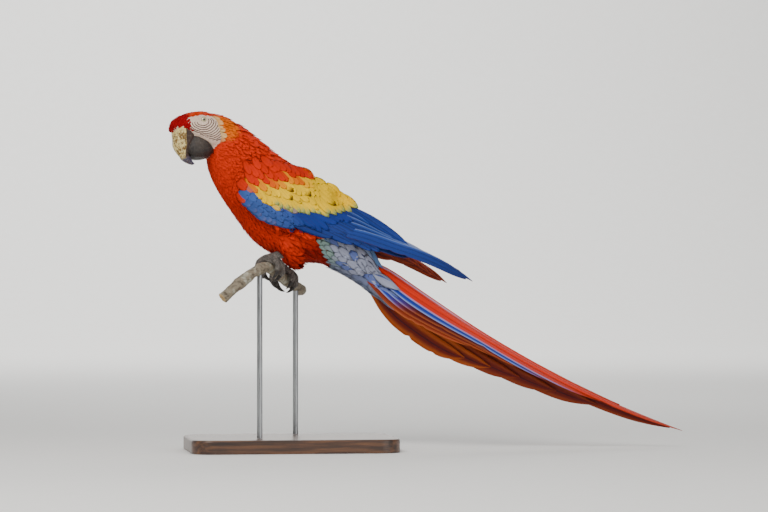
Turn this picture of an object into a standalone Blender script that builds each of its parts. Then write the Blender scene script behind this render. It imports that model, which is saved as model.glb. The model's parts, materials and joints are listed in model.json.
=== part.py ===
"""Scarlet macaw, life size, gripping a cut length of branch that a plain display stand holds.

Metres, +Z up. The bird faces -X and its left side is towards -Y. The origin is the middle of
the stand's underside. Every solid gives the outer form of the plumage, not the bare body.
"""

from math import cos, pi, radians, sin, sqrt, tan

import bmesh
import bpy
from mathutils import Matrix, Vector

GAP = 0.0003  # clearance that neighbouring solids keep

# Head, in its own frame: the origin is where skull meets neck, and the bill points to -X.
HEAD_PIVOT = (-0.112, -0.003, 0.457)
HEAD_YAW = radians(20)  # turned towards the left
HEAD_PITCH = radians(-14)  # bill lowered
HEAD_ROLL = radians(-13)  # crown leaning to the right
EYE_PLACE = (-0.019, 0.0178, 0.0232)
EYE_RADIUS = 0.0066

# x, top z, bottom z and half width of the head's sections, from forehead to nape.
HEAD_ROWS = (
    (-0.0635, 0.0270, 0.0150, 0.0090),
    (-0.0590, 0.0330, 0.0080, 0.0165),
    (-0.0470, 0.0375, 0.0000, 0.0210),
    (-0.0300, 0.0390, -0.0120, 0.0240),
    (-0.0130, 0.0375, -0.0250, 0.0265),
    (0.0030, 0.0335, -0.0320, 0.0280),
    (0.0170, 0.0270, -0.0340, 0.0275),
    (0.0310, 0.0175, -0.0300, 0.0240),
    (0.0410, 0.0020, -0.0200, 0.0120),
)
HEAD_CROWN_TAPER = 0.16  # how much narrower the crown is than the cheeks

# Culmen x, z, cutting edge x, z and half width of the upper bill, from base to hooked tip.
UPPER_BILL_ROWS = (
    (-0.0380, 0.0250, -0.0270, 0.0060, 0.0150),
    (-0.0540, 0.0255, -0.0350, 0.0020, 0.0160),
    (-0.0650, 0.0195, -0.0415, -0.0040, 0.0150),
    (-0.0720, 0.0070, -0.0485, -0.0110, 0.0130),
    (-0.0722, -0.0080, -0.0545, -0.0180, 0.0100),
    (-0.0660, -0.0220, -0.0570, -0.0265, 0.0060),
    (-0.0545, -0.0335, -0.0535, -0.0325, 0.0012),
)
BILL_SIDES = 12
# Upper edge x, z, lower edge x, z and half width of the lower bill, from cheek to front edge.
LOWER_BILL_ROWS = (
    (-0.0120, -0.0060, -0.0150, -0.0190, 0.0120),
    (-0.0230, 0.0030, -0.0210, -0.0240, 0.0155),
    (-0.0350, 0.0040, -0.0340, -0.0290, 0.0160),
    (-0.0455, -0.0030, -0.0465, -0.0270, 0.0130),
    (-0.0520, -0.0100, -0.0545, -0.0170, 0.0070),
)

# Centre x, z, half depth and half width of the neck and trunk, from head to tail base.
BODY_ROWS = (
    (-0.1045, 0.4590, 0.0258, 0.0250),
    (-0.0935, 0.4462, 0.0368, 0.0300),
    (-0.0815, 0.4252, 0.0470, 0.0360),
    (-0.0630, 0.3990, 0.0530, 0.0430),
    (-0.0390, 0.3740, 0.0590, 0.0495),
    (-0.0110, 0.3480, 0.0650, 0.0525),
    (0.0220, 0.3240, 0.0590, 0.0510),
    (0.0570, 0.3050, 0.0420, 0.0445),
    (0.0840, 0.2840, 0.0320, 0.0380),
    (0.1085, 0.2650, 0.0265, 0.0310),
)
NECK_START = 0.35
NECK_END = 3.4  # where along BODY_ROWS the neck becomes the trunk
BODY_SIDES = 18

# Lower edge x, y, z and upper edge x, y, z of the folded left wing, from bend to tip.
WING_ROWS = (
    (-0.0890, -0.0400, 0.3600, -0.0750, -0.0300, 0.4080),
    (-0.0570, -0.0520, 0.3360, -0.0410, -0.0260, 0.4210),
    (-0.0100, -0.0570, 0.3170, 0.0030, -0.0190, 0.4110),
    (0.0410, -0.0550, 0.3030, 0.0480, -0.0120, 0.3830),
    (0.0920, -0.0470, 0.2890, 0.0930, -0.0090, 0.3450),
    (0.1400, -0.0370, 0.2750, 0.1410, -0.0090, 0.3090),
    (0.1900, -0.0300, 0.2610, 0.1950, -0.0130, 0.2820),
    (0.2500, -0.0260, 0.2340, 0.2500, -0.0180, 0.2460),
)
WING_CURVE_RADIUS = 0.078  # how round the wing's outer face is from edge to edge
WING_THICKNESS = 0.0155
WING_CLEARANCE = 0.0009  # room between a wing and the body under it
WING_NOSE = 0.006  # how far the rounded bend stands ahead of the first row
ARM_END = 3.1  # where along WING_ROWS the flight feathers leave the covert-clad arm
RIGHT_WING_SHORTER = 0.026
RIGHT_WING_DROOP = 0.016

# Tip along WING_ROWS, place across the wing at root and tip (0 is the lower edge), half width.
# The first lies outermost, as the tertials cover the secondaries and those the primaries.
FLIGHT_FEATHERS = {
    "tertial_1": (4.55, 0.84, 0.84, 0.0135),
    "tertial_2": (5.15, 0.62, 0.78, 0.0135),
    "secondary_1": (5.55, 0.40, 0.66, 0.0130),
    "secondary_2": (5.75, 0.19, 0.42, 0.0125),
    "primary_1": (6.05, 0.72, 0.70, 0.0120),
    "primary_2": (6.35, 0.56, 0.58, 0.0115),
    "primary_3": (6.62, 0.42, 0.50, 0.0110),
    "primary_4": (6.85, 0.28, 0.45, 0.0105),
    "primary_5": (7.15, 0.13, 0.42, 0.0100),
}
VANE_THICKNESS = 0.0008
FEATHER_PITCH = 0.0019  # distance between one feather of a stack and the next
WING_PACE = 0.5  # rows of WING_ROWS between two sections of a flight feather
TAIL_PACE = 0.027  # metres between two sections of a tail feather
ROOT_CLEARANCE = 0.02  # rows of WING_ROWS between the arm's end and the flight feathers

# Tail: feathers on the two flanks of a low roof, whose ridge runs on from the back.
TAIL_BASE = (0.1085, 0.0, 0.2650)
TAIL_START_SLOPE = radians(35)
TAIL_END_SLOPE = radians(19)
TAIL_ROLL = radians(29)  # the tip's twist, left side up
TAIL_ROLL_SHARE = 0.36  # share of the tail's length over which the twist sets in
TAIL_LENGTH = 0.539
TAIL_PIECES = 24  # pieces in which the tail's curve is summed
RIDGE_HEIGHT = 0.0190
ROOF_SLOPE = radians(51)
TAIL_FEATHER_LENGTHS = (1.0, 0.75, 0.63, 0.525, 0.44, 0.365)
TAIL_FEATHER_HALF_WIDTH = 0.0135
TAIL_FEATHER_STEP = 0.0078  # how far each feather reaches out past the one above it
FAN_LENGTH = 0.070  # the roots spread over this length
RIDGE_CLEARANCE = 0.0015  # from the ridge to the nearest edge on each side
TAIL_GAP = 0.0030  # from the end of the trunk to the roots
FAN_CLOSED = 0.50
UPPER_COVERTS_LENGTH = 0.036
FLANK_COVERTS_LENGTH = 0.044
UPPER_COVERTS_HALF_WIDTH = 0.031
LOWER_COVERTS_LENGTH = 0.085
LOWER_COVERTS_HALF_WIDTH = 0.020
LOWER_COVERTS_DEPTH = 0.026

# Legs and perch. The branch's points run from behind the bird to its front left.
PERCH_POINTS = (
    (0.026, 0.090, 0.230),
    (0.010, 0.056, 0.239),
    (-0.008, 0.026, 0.248),
    (-0.034, -0.028, 0.264),
    (-0.053, -0.048, 0.261),
    (-0.078, -0.062, 0.244),
    (-0.106, -0.074, 0.221),
)
PERCH_RADIUS = 0.0080
FOOT_ALONG_PERCH = {"left": 2.998, "right": 2.0}
HIP = (-0.008, 0.034, 0.316)
HEEL = {"left": (0.000, 0.031, 0.281), "right": (0.008, 0.029, 0.272)}
TOE_RADIUS = 0.0052
TOE_JOINTS = 9
SHANK_RADII = (0.0075, 0.0072, 0.0060, 0.0058, 0.0040)  # from the sole into the thigh
CLAW_LENGTH = 0.015
CLAW_BEND = radians(58)
BRANCH_WAVE = 0.09  # how far the branch swells past PERCH_RADIUS, as a share
TOES = {  # direction (1 is ahead), place along the branch, angle round it
    "1": (-1, 0.0022, radians(108)),
    "2": (1, 0.0102, radians(122)),
    "3": (1, -0.0060, radians(138)),
    "4": (-1, -0.0140, radians(128)),
}

BASE_SIZE = (0.300, 0.190, 0.020)
BASE_CORNER = 0.030
ROD_RADIUS = 0.0040
ROD_ALONG_PERCH = {"near": 3.85, "far": 0.75}

COLOURS = {
    "scarlet_plumage": ((0.62, 0.035, 0.012), 0.7, 0.0),
    "yellow_blue_coverts": ((0.80, 0.47, 0.015), 0.65, 0.0),
    "blue_quills": ((0.018, 0.055, 0.30), 0.45, 0.0),
    "red_quills": ((0.60, 0.040, 0.012), 0.5, 0.0),
    "pale_blue_plumage": ((0.33, 0.45, 0.62), 0.7, 0.0),
    "ivory_bill": ((0.68, 0.58, 0.42), 0.4, 0.0),
    "black_horn": ((0.020, 0.018, 0.017), 0.35, 0.0),
    "eye": ((0.70, 0.66, 0.40), 0.1, 0.0),
    "scaly_skin": ((0.075, 0.068, 0.064), 0.7, 0.0),
    "bark": ((0.36, 0.33, 0.26), 0.85, 0.0),
    "stand_wood": ((0.10, 0.052, 0.026), 0.5, 0.0),
    "stand_steel": ((0.55, 0.55, 0.56), 0.3, 1.0),
}


def make_material(name):
    colour, roughness, metallic = COLOURS[name]
    material = bpy.data.materials.new(name)
    material.use_nodes = True
    shader = material.node_tree.nodes["Principled BSDF"]
    shader.inputs["Base Color"].default_value = (*colour, 1.0)
    shader.inputs["Roughness"].default_value = roughness
    shader.inputs["Metallic"].default_value = metallic
    return material


def interpolate(rows, place):
    """The values at a place along a table of rows, on a smooth curve through the rows."""
    last = len(rows) - 1
    index = min(max(int(place), 0), last - 1)
    t = place - index
    picks = [rows[min(max(index + k, 0), last)] for k in (-1, 0, 1, 2)]
    if index == 0:
        picks[0] = [2 * b - c for b, c in zip(picks[1], picks[2])]
    if index == last - 1:
        picks[3] = [2 * c - b for b, c in zip(picks[1], picks[2])]
    return tuple(
        b + 0.5 * t * (c - a + t * (2 * a - 5 * b + 4 * c - d + t * (3 * (b - c) + d - a)))
        for a, b, c, d in zip(*picks)
    )


def steps(first, last, count):
    return [first + (last - first) * k / (count - 1) for k in range(count)]


def add_object(name, mesh, material, parent=None):
    for polygon in mesh.polygons:
        polygon.use_smooth = True
    mesh.set_sharp_from_angle(angle=radians(40))
    obj = bpy.data.objects.new(name, mesh)
    bpy.context.scene.collection.objects.link(obj)
    if material:
        mesh.materials.append(MATERIALS[material])
    obj.parent = parent
    return obj


def skin_rings(name, rings, material=None, parent=None, flat=False):
    """A closed solid over rings of equal length.

    Each end closes on the middle of its ring. A flat solid's ring runs along its face and back
    along its reverse, and its ends close by strips between the two.
    """
    shape = bmesh.new()
    loops = [[shape.verts.new(point) for point in ring] for ring in rings]
    size = len(loops[0])
    for first, second in zip(loops, loops[1:]):
        for k in range(size):
            n = (k + 1) % size
            shape.faces.new((first[k], first[n], second[n], second[k]))
    for loop in (loops[0], loops[-1]):
        if flat:
            for k in range(size // 2 - 1):
                shape.faces.new((loop[k], loop[k + 1], loop[size - 2 - k], loop[size - 1 - k]))
            continue
        middle = shape.verts.new(sum((v.co for v in loop), Vector()) / size)
        for k in range(size):
            shape.faces.new((loop[k], loop[(k + 1) % size], middle))
    bmesh.ops.recalc_face_normals(shape, faces=shape.faces)
    mesh = bpy.data.meshes.new(name)
    shape.to_mesh(mesh)
    shape.free()
    return add_object(name, mesh, material, parent)


def as_cutter(obj):
    obj.hide_render = True
    obj.display_type = "WIRE"
    return obj


def add_boolean(obj, other, operation="DIFFERENCE"):
    modifier = obj.modifiers.new(operation.lower(), "BOOLEAN")
    modifier.operation = operation
    modifier.solver = "EXACT"
    modifier.object = other
    as_cutter(other)


# Neck and trunk


def body_frame(place):
    """Middle, forward and upward direction, half depth and half width of the body at a place."""
    x, z, depth, width = interpolate(BODY_ROWS, place)
    ahead = interpolate(BODY_ROWS, place + 0.02)
    behind = interpolate(BODY_ROWS, place - 0.02)
    along = Vector((ahead[0] - behind[0], 0, ahead[1] - behind[1])).normalized()
    dorsal = Vector((-along.z, 0, along.x))
    return Vector((x, 0, z)), along, dorsal, depth, width


def body_ring(place, grow=0.0):
    middle, _, dorsal, depth, width = body_frame(place)
    side = Vector((0, 1, 0))
    ring = []
    for k in range(BODY_SIDES):
        angle = 2 * pi * k / BODY_SIDES
        lift = sin(angle)
        spread = cos(angle) * (1 - 0.10 * lift)
        ring.append(middle + dorsal * (depth + grow) * lift + side * (width + grow) * spread)
    return ring


def add_neck(cutters):
    places = steps(NECK_START, NECK_END, 9)
    neck = skin_rings("neck", [body_ring(p) for p in places], "scarlet_plumage")
    for cutter in cutters:
        add_boolean(neck, cutter)


def add_trunk(wing_cutters):
    end = len(BODY_ROWS) - 1
    places = steps(NECK_END + 0.007, end, 16)
    trunk = skin_rings("trunk", [body_ring(p) for p in places], "scarlet_plumage")
    for cutter in wing_cutters:
        add_boolean(trunk, cutter)


# Head


def head_ring(place, grow=0.0):
    x, top, bottom, width = interpolate(HEAD_ROWS, place)
    ring = []
    for k in range(16):
        angle = 2 * pi * k / 16
        lift = sin(angle)
        spread = cos(angle) * (1 - HEAD_CROWN_TAPER * lift)
        z = (top + bottom) / 2 + ((top - bottom) / 2 + grow) * lift
        ring.append(Vector((x, (width + grow) * spread, z)))
    return ring


def add_head(frame):
    places = steps(0, len(HEAD_ROWS) - 1, 13)
    head = skin_rings("head", [head_ring(p) for p in places], "scarlet_plumage", frame)
    grown = [head_ring(p, GAP) for p in places]
    grown[0] = [point - Vector((GAP, 0, 0)) for point in grown[0]]
    grown[-1] = [point + Vector((GAP, 0, 0)) for point in grown[-1]]
    cutter = skin_rings("head_cutter", grown, None, frame)
    return head, as_cutter(cutter)


def add_eyes(frame, head):
    for side, sign in (("left", -1), ("right", 1)):
        place = Vector((EYE_PLACE[0], sign * EYE_PLACE[1], EYE_PLACE[2]))
        for name, radius in ((f"eye_{side}", EYE_RADIUS), (f"socket_{side}", EYE_RADIUS + GAP)):
            shape = bmesh.new()
            bmesh.ops.create_uvsphere(shape, u_segments=12, v_segments=7, radius=radius)
            mesh = bpy.data.meshes.new(name)
            shape.to_mesh(mesh)
            shape.free()
            ball = add_object(name, mesh, "eye", frame)
            ball.location = place
            ball.rotation_euler = (pi / 2, 0, 0)
        add_boolean(head, ball)


def bill_ring(row, sides, grow=0.0):
    """A section between an upper and a lower point, rounder above than below."""
    upper = Vector((row[0], 0, row[1]))
    lower = Vector((row[2], 0, row[3]))
    middle = (upper + lower) / 2
    rise = upper - middle
    reach = rise.length + grow
    rise = rise.normalized() if rise.length > 1e-6 else Vector((0, 0, 1))
    ring = []
    for k in range(sides):
        angle = 2 * pi * k / sides
        lift = sin(angle)
        spread = abs(cos(angle)) ** (1.0 if lift > 0 else 0.6)
        spread = spread if cos(angle) > 0 else -spread
        ring.append(middle + rise * reach * lift + Vector((0, (row[4] + grow) * spread, 0)))
    return ring


def bill_rings(rows, grow=0.0):
    places = steps(0, len(rows) - 1, 2 * len(rows) - 1)
    return [bill_ring(interpolate(rows, place), BILL_SIDES, grow) for place in places]


def add_bill(frame, head_cutter):
    """Both halves of the bill, and a cutter that makes room for the lower one in the throat."""
    upper = skin_rings("bill_upper", bill_rings(UPPER_BILL_ROWS), "ivory_bill", frame)
    lower = skin_rings("bill_lower", bill_rings(LOWER_BILL_ROWS), "black_horn", frame)
    add_boolean(upper, head_cutter)
    add_boolean(lower, head_cutter)
    add_boolean(lower, skin_rings("bill_cutter", bill_rings(UPPER_BILL_ROWS, GAP), None, frame))
    return as_cutter(skin_rings("chin_cutter", bill_rings(LOWER_BILL_ROWS, GAP), None, frame))


# Wings


def wing_point(side, place, across):
    """A point on the folded wing's outer face."""
    low_x, low_y, low_z, up_x, up_y, up_z = interpolate(WING_ROWS, place)
    low = Vector((low_x, low_y, low_z))
    up = Vector((up_x, up_y, up_z))
    bulge = (up - low).length_squared * across * (1 - across) / (2 * WING_CURVE_RADIUS)
    outward = Vector((0, -1, 0.45)).normalized()
    point = low.lerp(up, across) + outward * bulge
    if side == "right":
        share = max(place, 0) / (len(WING_ROWS) - 1)
        shorter = RIGHT_WING_SHORTER * share**2
        point.x -= shorter
        point.z += 0.5 * shorter - RIGHT_WING_DROOP * share**1.5
        point.y = -point.y
    return point


def wing_frame(side, place, across):
    """Point, direction to the tip, direction to the upper edge, and inward normal."""
    point = wing_point(side, place, across)
    along = wing_point(side, place + 0.05, across) - wing_point(side, place - 0.05, across)
    upward = wing_point(side, place, across + 0.05) - wing_point(side, place, across - 0.05)
    along.normalize()
    inward = along.cross(upward).normalized()
    if side == "right":
        inward = -inward
    return point, along, inward.cross(along) * (-1 if side == "right" else 1), inward


def wing_section(side, place, thickness, grow=0.0):
    """A closed section of the wing: out along its face and back along its inner side."""
    edges = 7
    outer, inner = [], []
    for k in range(edges):
        across = k / (edges - 1)
        point, _, _, inward = wing_frame(side, place, across)
        share = sqrt(max(0.0, 1 - (2 * across - 1) ** 4))
        depth = max(thickness * share, 0.003)
        outer.append(point - inward * grow)
        inner.append(point + inward * (depth + grow))
    if grow:
        low = (outer[0] - outer[1]).normalized() * grow
        up = (outer[-1] - outer[-2]).normalized() * grow
        outer[0] += low
        inner[0] += low
        outer[-1] += up
        inner[-1] += up
    return outer + inner[::-1]


def shrink_ring(ring, share):
    middle = sum(ring, Vector()) / len(ring)
    return [middle.lerp(point, share) for point in ring]


def wing_rings(side, places, grow=0.0):
    """Sections of the arm behind a smaller one that rounds off the wing's bend."""
    rings = [wing_section(side, place, WING_THICKNESS, grow) for place in places]
    ahead = wing_frame(side, 0, 0.5)[1] * -(WING_NOSE + grow)
    rounded = [point + ahead for point in shrink_ring(rings[0], 0.72)]
    return [rounded] + rings


def add_wing(side):
    """The arm under its coverts, the nine flight feathers that show, and the trunk's cutter."""
    arm_places = steps(0, ARM_END, 10)
    arm = wing_rings(side, arm_places)
    skin_rings(f"wing_{side}", arm, "yellow_blue_coverts", flat=True)
    start = ARM_END + ROOT_CLEARANCE
    for layer, (name, (tip, root_v, tip_v, half)) in enumerate(FLIGHT_FEATHERS.items()):
        rings = []
        for place in stations(start, tip, WING_PACE):
            t = (place - start) / (tip - start)
            across = root_v + (tip_v - root_v) * t
            rings.append(laid_vane(side, place, across, half * vane_outline(t), layer))
        skin_rings(f"{name}_{side}", rings, "blue_quills", flat=True)
    places = arm_places + steps(ARM_END + 0.5, len(WING_ROWS) - 0.7, 8)
    return skin_rings(f"wing_cutter_{side}", wing_rings(side, places, WING_CLEARANCE), flat=True)


def stations(start, end, pace):
    """Places along a feather. Feathers of a stack share all but the last, and so lie parallel."""
    shared = [start + pace * k for k in range(int((end - start) / pace))]
    return shared + [end - 0.35 * pace, end]


def vane_outline(t):
    """Half width of a quill's vane along its length, as a share of the widest."""
    root = 0.62 + 0.38 * min(1.0, t / 0.35)
    tip = sqrt(max(0.0, 1 - max(0.0, (t - 0.62) / 0.385) ** 2.4))
    return root * max(tip, 0.12)


def laid_vane(side, place, across, half_width, layer):
    """A quill's section that follows the wing's outer face, a few layers under it."""
    width = (wing_point(side, place, 1) - wing_point(side, place, 0)).length
    inward = wing_frame(side, place, 0.5)[3]
    depth = FEATHER_PITCH * layer
    top = [
        wing_point(side, place, across + u * half_width / width) + inward * depth
        for u in (-1, 0, 1)
    ]
    return top + [point + inward * VANE_THICKNESS for point in reversed(top)]


def vane_ring(middle, across, face, half_width):
    """A tail quill's section, flat so that the quills of a flank lie parallel."""
    reach, lift = across * half_width, face * VANE_THICKNESS / 2
    near, far = middle - reach, middle + reach
    return [near + lift, far + lift, far - lift, near - lift]


# Tail


def tail_slope(share):
    return TAIL_START_SLOPE + (TAIL_END_SLOPE - TAIL_START_SLOPE) * share**1.5


def tail_frame(distance):
    """Middle, forward, left-to-right and upward directions at a distance from the tail base."""
    point = Vector(TAIL_BASE)
    share = distance / TAIL_LENGTH
    for k in range(TAIL_PIECES):
        slope = tail_slope(share * (k + 0.5) / TAIL_PIECES)
        point += Vector((cos(slope), 0, -sin(slope))) * (distance / TAIL_PIECES)
    end = tail_slope(share)
    forward = Vector((cos(end), 0, -sin(end)))
    roll = TAIL_ROLL * min(1.0, share / TAIL_ROLL_SHARE)
    turn = Matrix.Rotation(-roll, 3, forward)
    return point, forward, turn @ Vector((0, 1, 0)), turn @ Vector((sin(end), 0, cos(end)))


def tail_point(distance, sideways, height):
    point, _, right, up = tail_frame(distance)
    return point + right * sideways + up * height


def add_tail_feather(side, number):
    sign = -1 if side == "left" else 1
    length = TAIL_LENGTH * TAIL_FEATHER_LENGTHS[number]
    if number == 0 and side == "right":
        length *= 0.965
    rings = []
    for distance in stations(TAIL_GAP, length, TAIL_PACE):
        t = distance / length
        point, _, right, up = tail_frame(distance)
        outward = (right * sign * cos(ROOF_SLOPE) - up * sin(ROOF_SLOPE)).normalized()
        face = (right * sign * sin(ROOF_SLOPE) + up * cos(ROOF_SLOPE)).normalized()
        spread = FAN_CLOSED + (1 - FAN_CLOSED) * min(1.0, distance / FAN_LENGTH)
        outline = vane_outline(t) * (1 - 0.45 * t if number == 0 else 1)
        half = TAIL_FEATHER_HALF_WIDTH * outline * (0.55 + 0.45 * spread)
        reach = half + RIDGE_CLEARANCE + TAIL_FEATHER_STEP * number * spread
        middle = point + up * RIDGE_HEIGHT + outward * reach
        middle -= face * FEATHER_PITCH * number
        rings.append(vane_ring(middle, outward, face, half))
    material = "red_quills" if number < 2 else "blue_quills"
    skin_rings(f"tail_feather_{number + 1}_{side}", rings, material, flat=True)


def roof_height(sideways):
    return RIDGE_HEIGHT - abs(sideways) * tan(ROOF_SLOPE)


def add_upper_tail_coverts():
    """A sheet over the roots of the tail, longer down its flanks than along its ridge."""
    rings = []
    for t in steps(0, 1, 8):
        width = UPPER_COVERTS_HALF_WIDTH * sqrt(1 - 0.80 * t**2)
        thick = 0.0062 * (1 - t) + 0.0012
        tops, bottoms = [], []
        for u in steps(-1, 1, 9):
            distance = TAIL_GAP + (UPPER_COVERTS_LENGTH + FLANK_COVERTS_LENGTH * abs(u)) * t
            base = roof_height(width * u) + 0.0016
            lift = max(thick * (1 - u * u), 0.0012)
            bottoms.append(tail_point(distance, width * u, base))
            tops.append(tail_point(distance, width * u, base + lift))
        rings.append(tops + bottoms[::-1])
    skin_rings("tail_coverts_upper", rings, "pale_blue_plumage", flat=True)


def add_lower_tail_coverts():
    """The wedge of feathers under the tail. Its top fits the inside of the roof."""
    stack = len(TAIL_FEATHER_LENGTHS) * FEATHER_PITCH / cos(ROOF_SLOPE) + 0.0035
    rings = []
    for t in steps(0, 1, 7):
        width = LOWER_COVERTS_HALF_WIDTH * (1 - 0.55 * t**2)
        tops, bottoms = [], []
        for u in steps(-1, 1, 7):
            low = -LOWER_COVERTS_DEPTH + 0.001 * u * u - 0.002 * t
            room = roof_height(width * u) - stack - low
            high = low + max(room * (1 - t) ** 0.7, 0.0012)
            distance = TAIL_GAP + LOWER_COVERTS_LENGTH * t
            bottoms.append(tail_point(distance, width * u, low))
            tops.append(tail_point(distance, width * u, high))
        rings.append(tops + bottoms[::-1])
    skin_rings("tail_coverts_lower", rings, "pale_blue_plumage", flat=True)


# Legs, feet, perch and stand


def perch_frame(place):
    point = Vector(interpolate(PERCH_POINTS, place))
    along = Vector(interpolate(PERCH_POINTS, place + 0.05)) - Vector(
        interpolate(PERCH_POINTS, place - 0.05)
    )
    along.normalize()
    up = (Vector((0, 0, 1)) - along * along.z).normalized()
    return point, along, along.cross(up).normalized(), up


def tube_ring(middle, across, up, radius, sides=8):
    return [
        middle + (across * cos(2 * pi * k / sides) + up * sin(2 * pi * k / sides)) * radius
        for k in range(sides)
    ]


def perch_rings(grow=0.0):
    rings = []
    last = len(PERCH_POINTS) - 1
    for place in steps(0, last, 15):
        point, _, across, up = perch_frame(place)
        radius = PERCH_RADIUS * (1 + 0.06 * sin(5.3 * place) + 0.04 * sin(11 * place + 1))
        rings.append(tube_ring(point, across, up, radius + grow, 10))
    return rings


def add_perch():
    skin_rings("perch_branch", perch_rings(), "bark")
    return as_cutter(skin_rings("perch_cutter", perch_rings(GAP), None))


def add_tube(name, points, radii, material, sides=8):
    """A tube of changing radius along a list of points."""
    rings = []
    across = None
    for k, point in enumerate(points):
        along = (points[min(k + 1, len(points) - 1)] - points[max(k - 1, 0)]).normalized()
        if across is None:
            across = along.orthogonal().normalized()
        across = (across - along * across.dot(along)).normalized()
        rings.append(tube_ring(point, across, along.cross(across), radii[k], sides))
    return skin_rings(name, rings, material)


def toe_path(side, toe):
    """Points of a toe from the ball of the foot, round the branch, and on to its claw's tip."""
    forward, offset, turn = toe
    point, along, across, up = perch_frame(FOOT_ALONG_PERCH[side])
    ahead = across if across.x * forward < 0 else -across
    radius = PERCH_RADIUS * (1 + BRANCH_WAVE) + GAP + TOE_RADIUS
    path = []
    count = TOE_JOINTS
    for k in range(count):
        angle = turn * k / (count - 1)
        drift = offset * min(1.0, 0.35 + 1.1 * k / (count - 1))
        path.append(point + along * drift + (up * cos(angle) + ahead * sin(angle)) * radius)
    return path


def add_foot(side, cutters):
    sign = -1 if side == "left" else 1
    point, _, _, up = perch_frame(FOOT_ALONG_PERCH[side])
    ball = point + up * (PERCH_RADIUS * (1 + BRANCH_WAVE) + GAP + TOE_RADIUS * 1.05)
    heel = Vector((HEEL[side][0], sign * HEEL[side][1], HEEL[side][2]))
    lift = Vector((0, 0, 0.004))
    hip = Vector((HIP[0], sign * HIP[1], HIP[2]))
    shank = [point + up * PERCH_RADIUS * 0.6, ball, ball.lerp(heel, 0.5) + lift, heel]
    shank.append(heel.lerp(hip, 0.16))
    foot = add_tube(f"foot_{side}", shank, SHANK_RADII, "scaly_skin")
    for number, toe in TOES.items():
        path = toe_path(side, toe)
        taper = [1 - 0.28 * k / (TOE_JOINTS - 1) + 0.10 * (k % 3 == 1) for k in range(TOE_JOINTS)]
        radii = [TOE_RADIUS * share for share in taper]
        tube = add_tube(f"toe_{number}_{side}", path, radii, "scaly_skin", 7)
        add_boolean(foot, tube, "UNION")
        add_claw(f"claw_{number}_{side}", path, radii[-1])
    for cutter in cutters:
        add_boolean(foot, cutter)


def add_claw(name, toe, radius):
    """A hooked claw that goes on from the toe's end and curls in under the branch."""
    along = (toe[-1] - toe[-2]).normalized()
    curl = (toe[-1] - toe[-2]) - (toe[-2] - toe[-3])
    curl = (curl - along * curl.dot(along)).normalized()
    points, radii = [], []
    count = 5
    for k in range(count):
        t = k / (count - 1)
        bend = CLAW_BEND * t
        start = toe[-1] + along * GAP
        arc = CLAW_LENGTH / CLAW_BEND
        points.append(start + along * arc * sin(bend) + curl * arc * (1 - cos(bend)) * 0.7)
        radii.append(radius * (0.86 * (1 - t) ** 0.8 + 0.07))
    add_tube(name, points, radii, "black_horn", 6)


def add_thigh(side):
    """The feathered leg between the belly and the heel."""
    sign = -1 if side == "left" else 1
    hip = Vector((HIP[0], sign * HIP[1], HIP[2]))
    heel = Vector((HEEL[side][0], sign * HEEL[side][1], HEEL[side][2]))
    down = (heel - hip).normalized()
    along = [(hip, 0.024), (hip.lerp(heel, 0.4), 0.0235), (hip.lerp(heel, 0.75), 0.0190)]
    along += [(heel, 0.0135), (heel + down * 0.0085, 0.0095)]
    points = [p for p, _ in along]
    thigh = add_tube(f"thigh_{side}", points, [r for _, r in along], "scarlet_plumage", 14)
    grown = [r + GAP for _, r in along]
    return thigh, as_cutter(add_tube(f"thigh_cutter_{side}", points, grown, None, 14))


def add_stand(perch_cutter):
    shape = bmesh.new()
    bmesh.ops.create_cube(shape, size=1.0)
    bmesh.ops.scale(shape, vec=BASE_SIZE, verts=shape.verts)
    bmesh.ops.translate(shape, vec=(0, 0, BASE_SIZE[2] / 2), verts=shape.verts)
    upright = [e for e in shape.edges if abs(e.verts[0].co.z - e.verts[1].co.z) > 0.01]
    bmesh.ops.bevel(
        shape, geom=upright, offset=BASE_CORNER, segments=6, profile=0.5, affect="EDGES"
    )
    rim = [e for e in shape.edges if min(v.co.z for v in e.verts) > BASE_SIZE[2] - 1e-5]
    bmesh.ops.bevel(shape, geom=rim, offset=0.003, segments=2, profile=0.5, affect="EDGES")
    mesh = bpy.data.meshes.new("stand_base")
    shape.to_mesh(mesh)
    shape.free()
    add_object("stand_base", mesh, "stand_wood")
    for end, place in ROD_ALONG_PERCH.items():
        point, _, _, _ = perch_frame(place)
        foot = Vector((point.x, point.y, BASE_SIZE[2] + GAP))
        rings = [
            tube_ring(at, Vector((1, 0, 0)), Vector((0, 1, 0)), ROD_RADIUS, 12)
            for at in (foot, point)
        ]
        rod = skin_rings(f"stand_rod_{end}", rings, "stand_steel")
        add_boolean(rod, perch_cutter)


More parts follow.
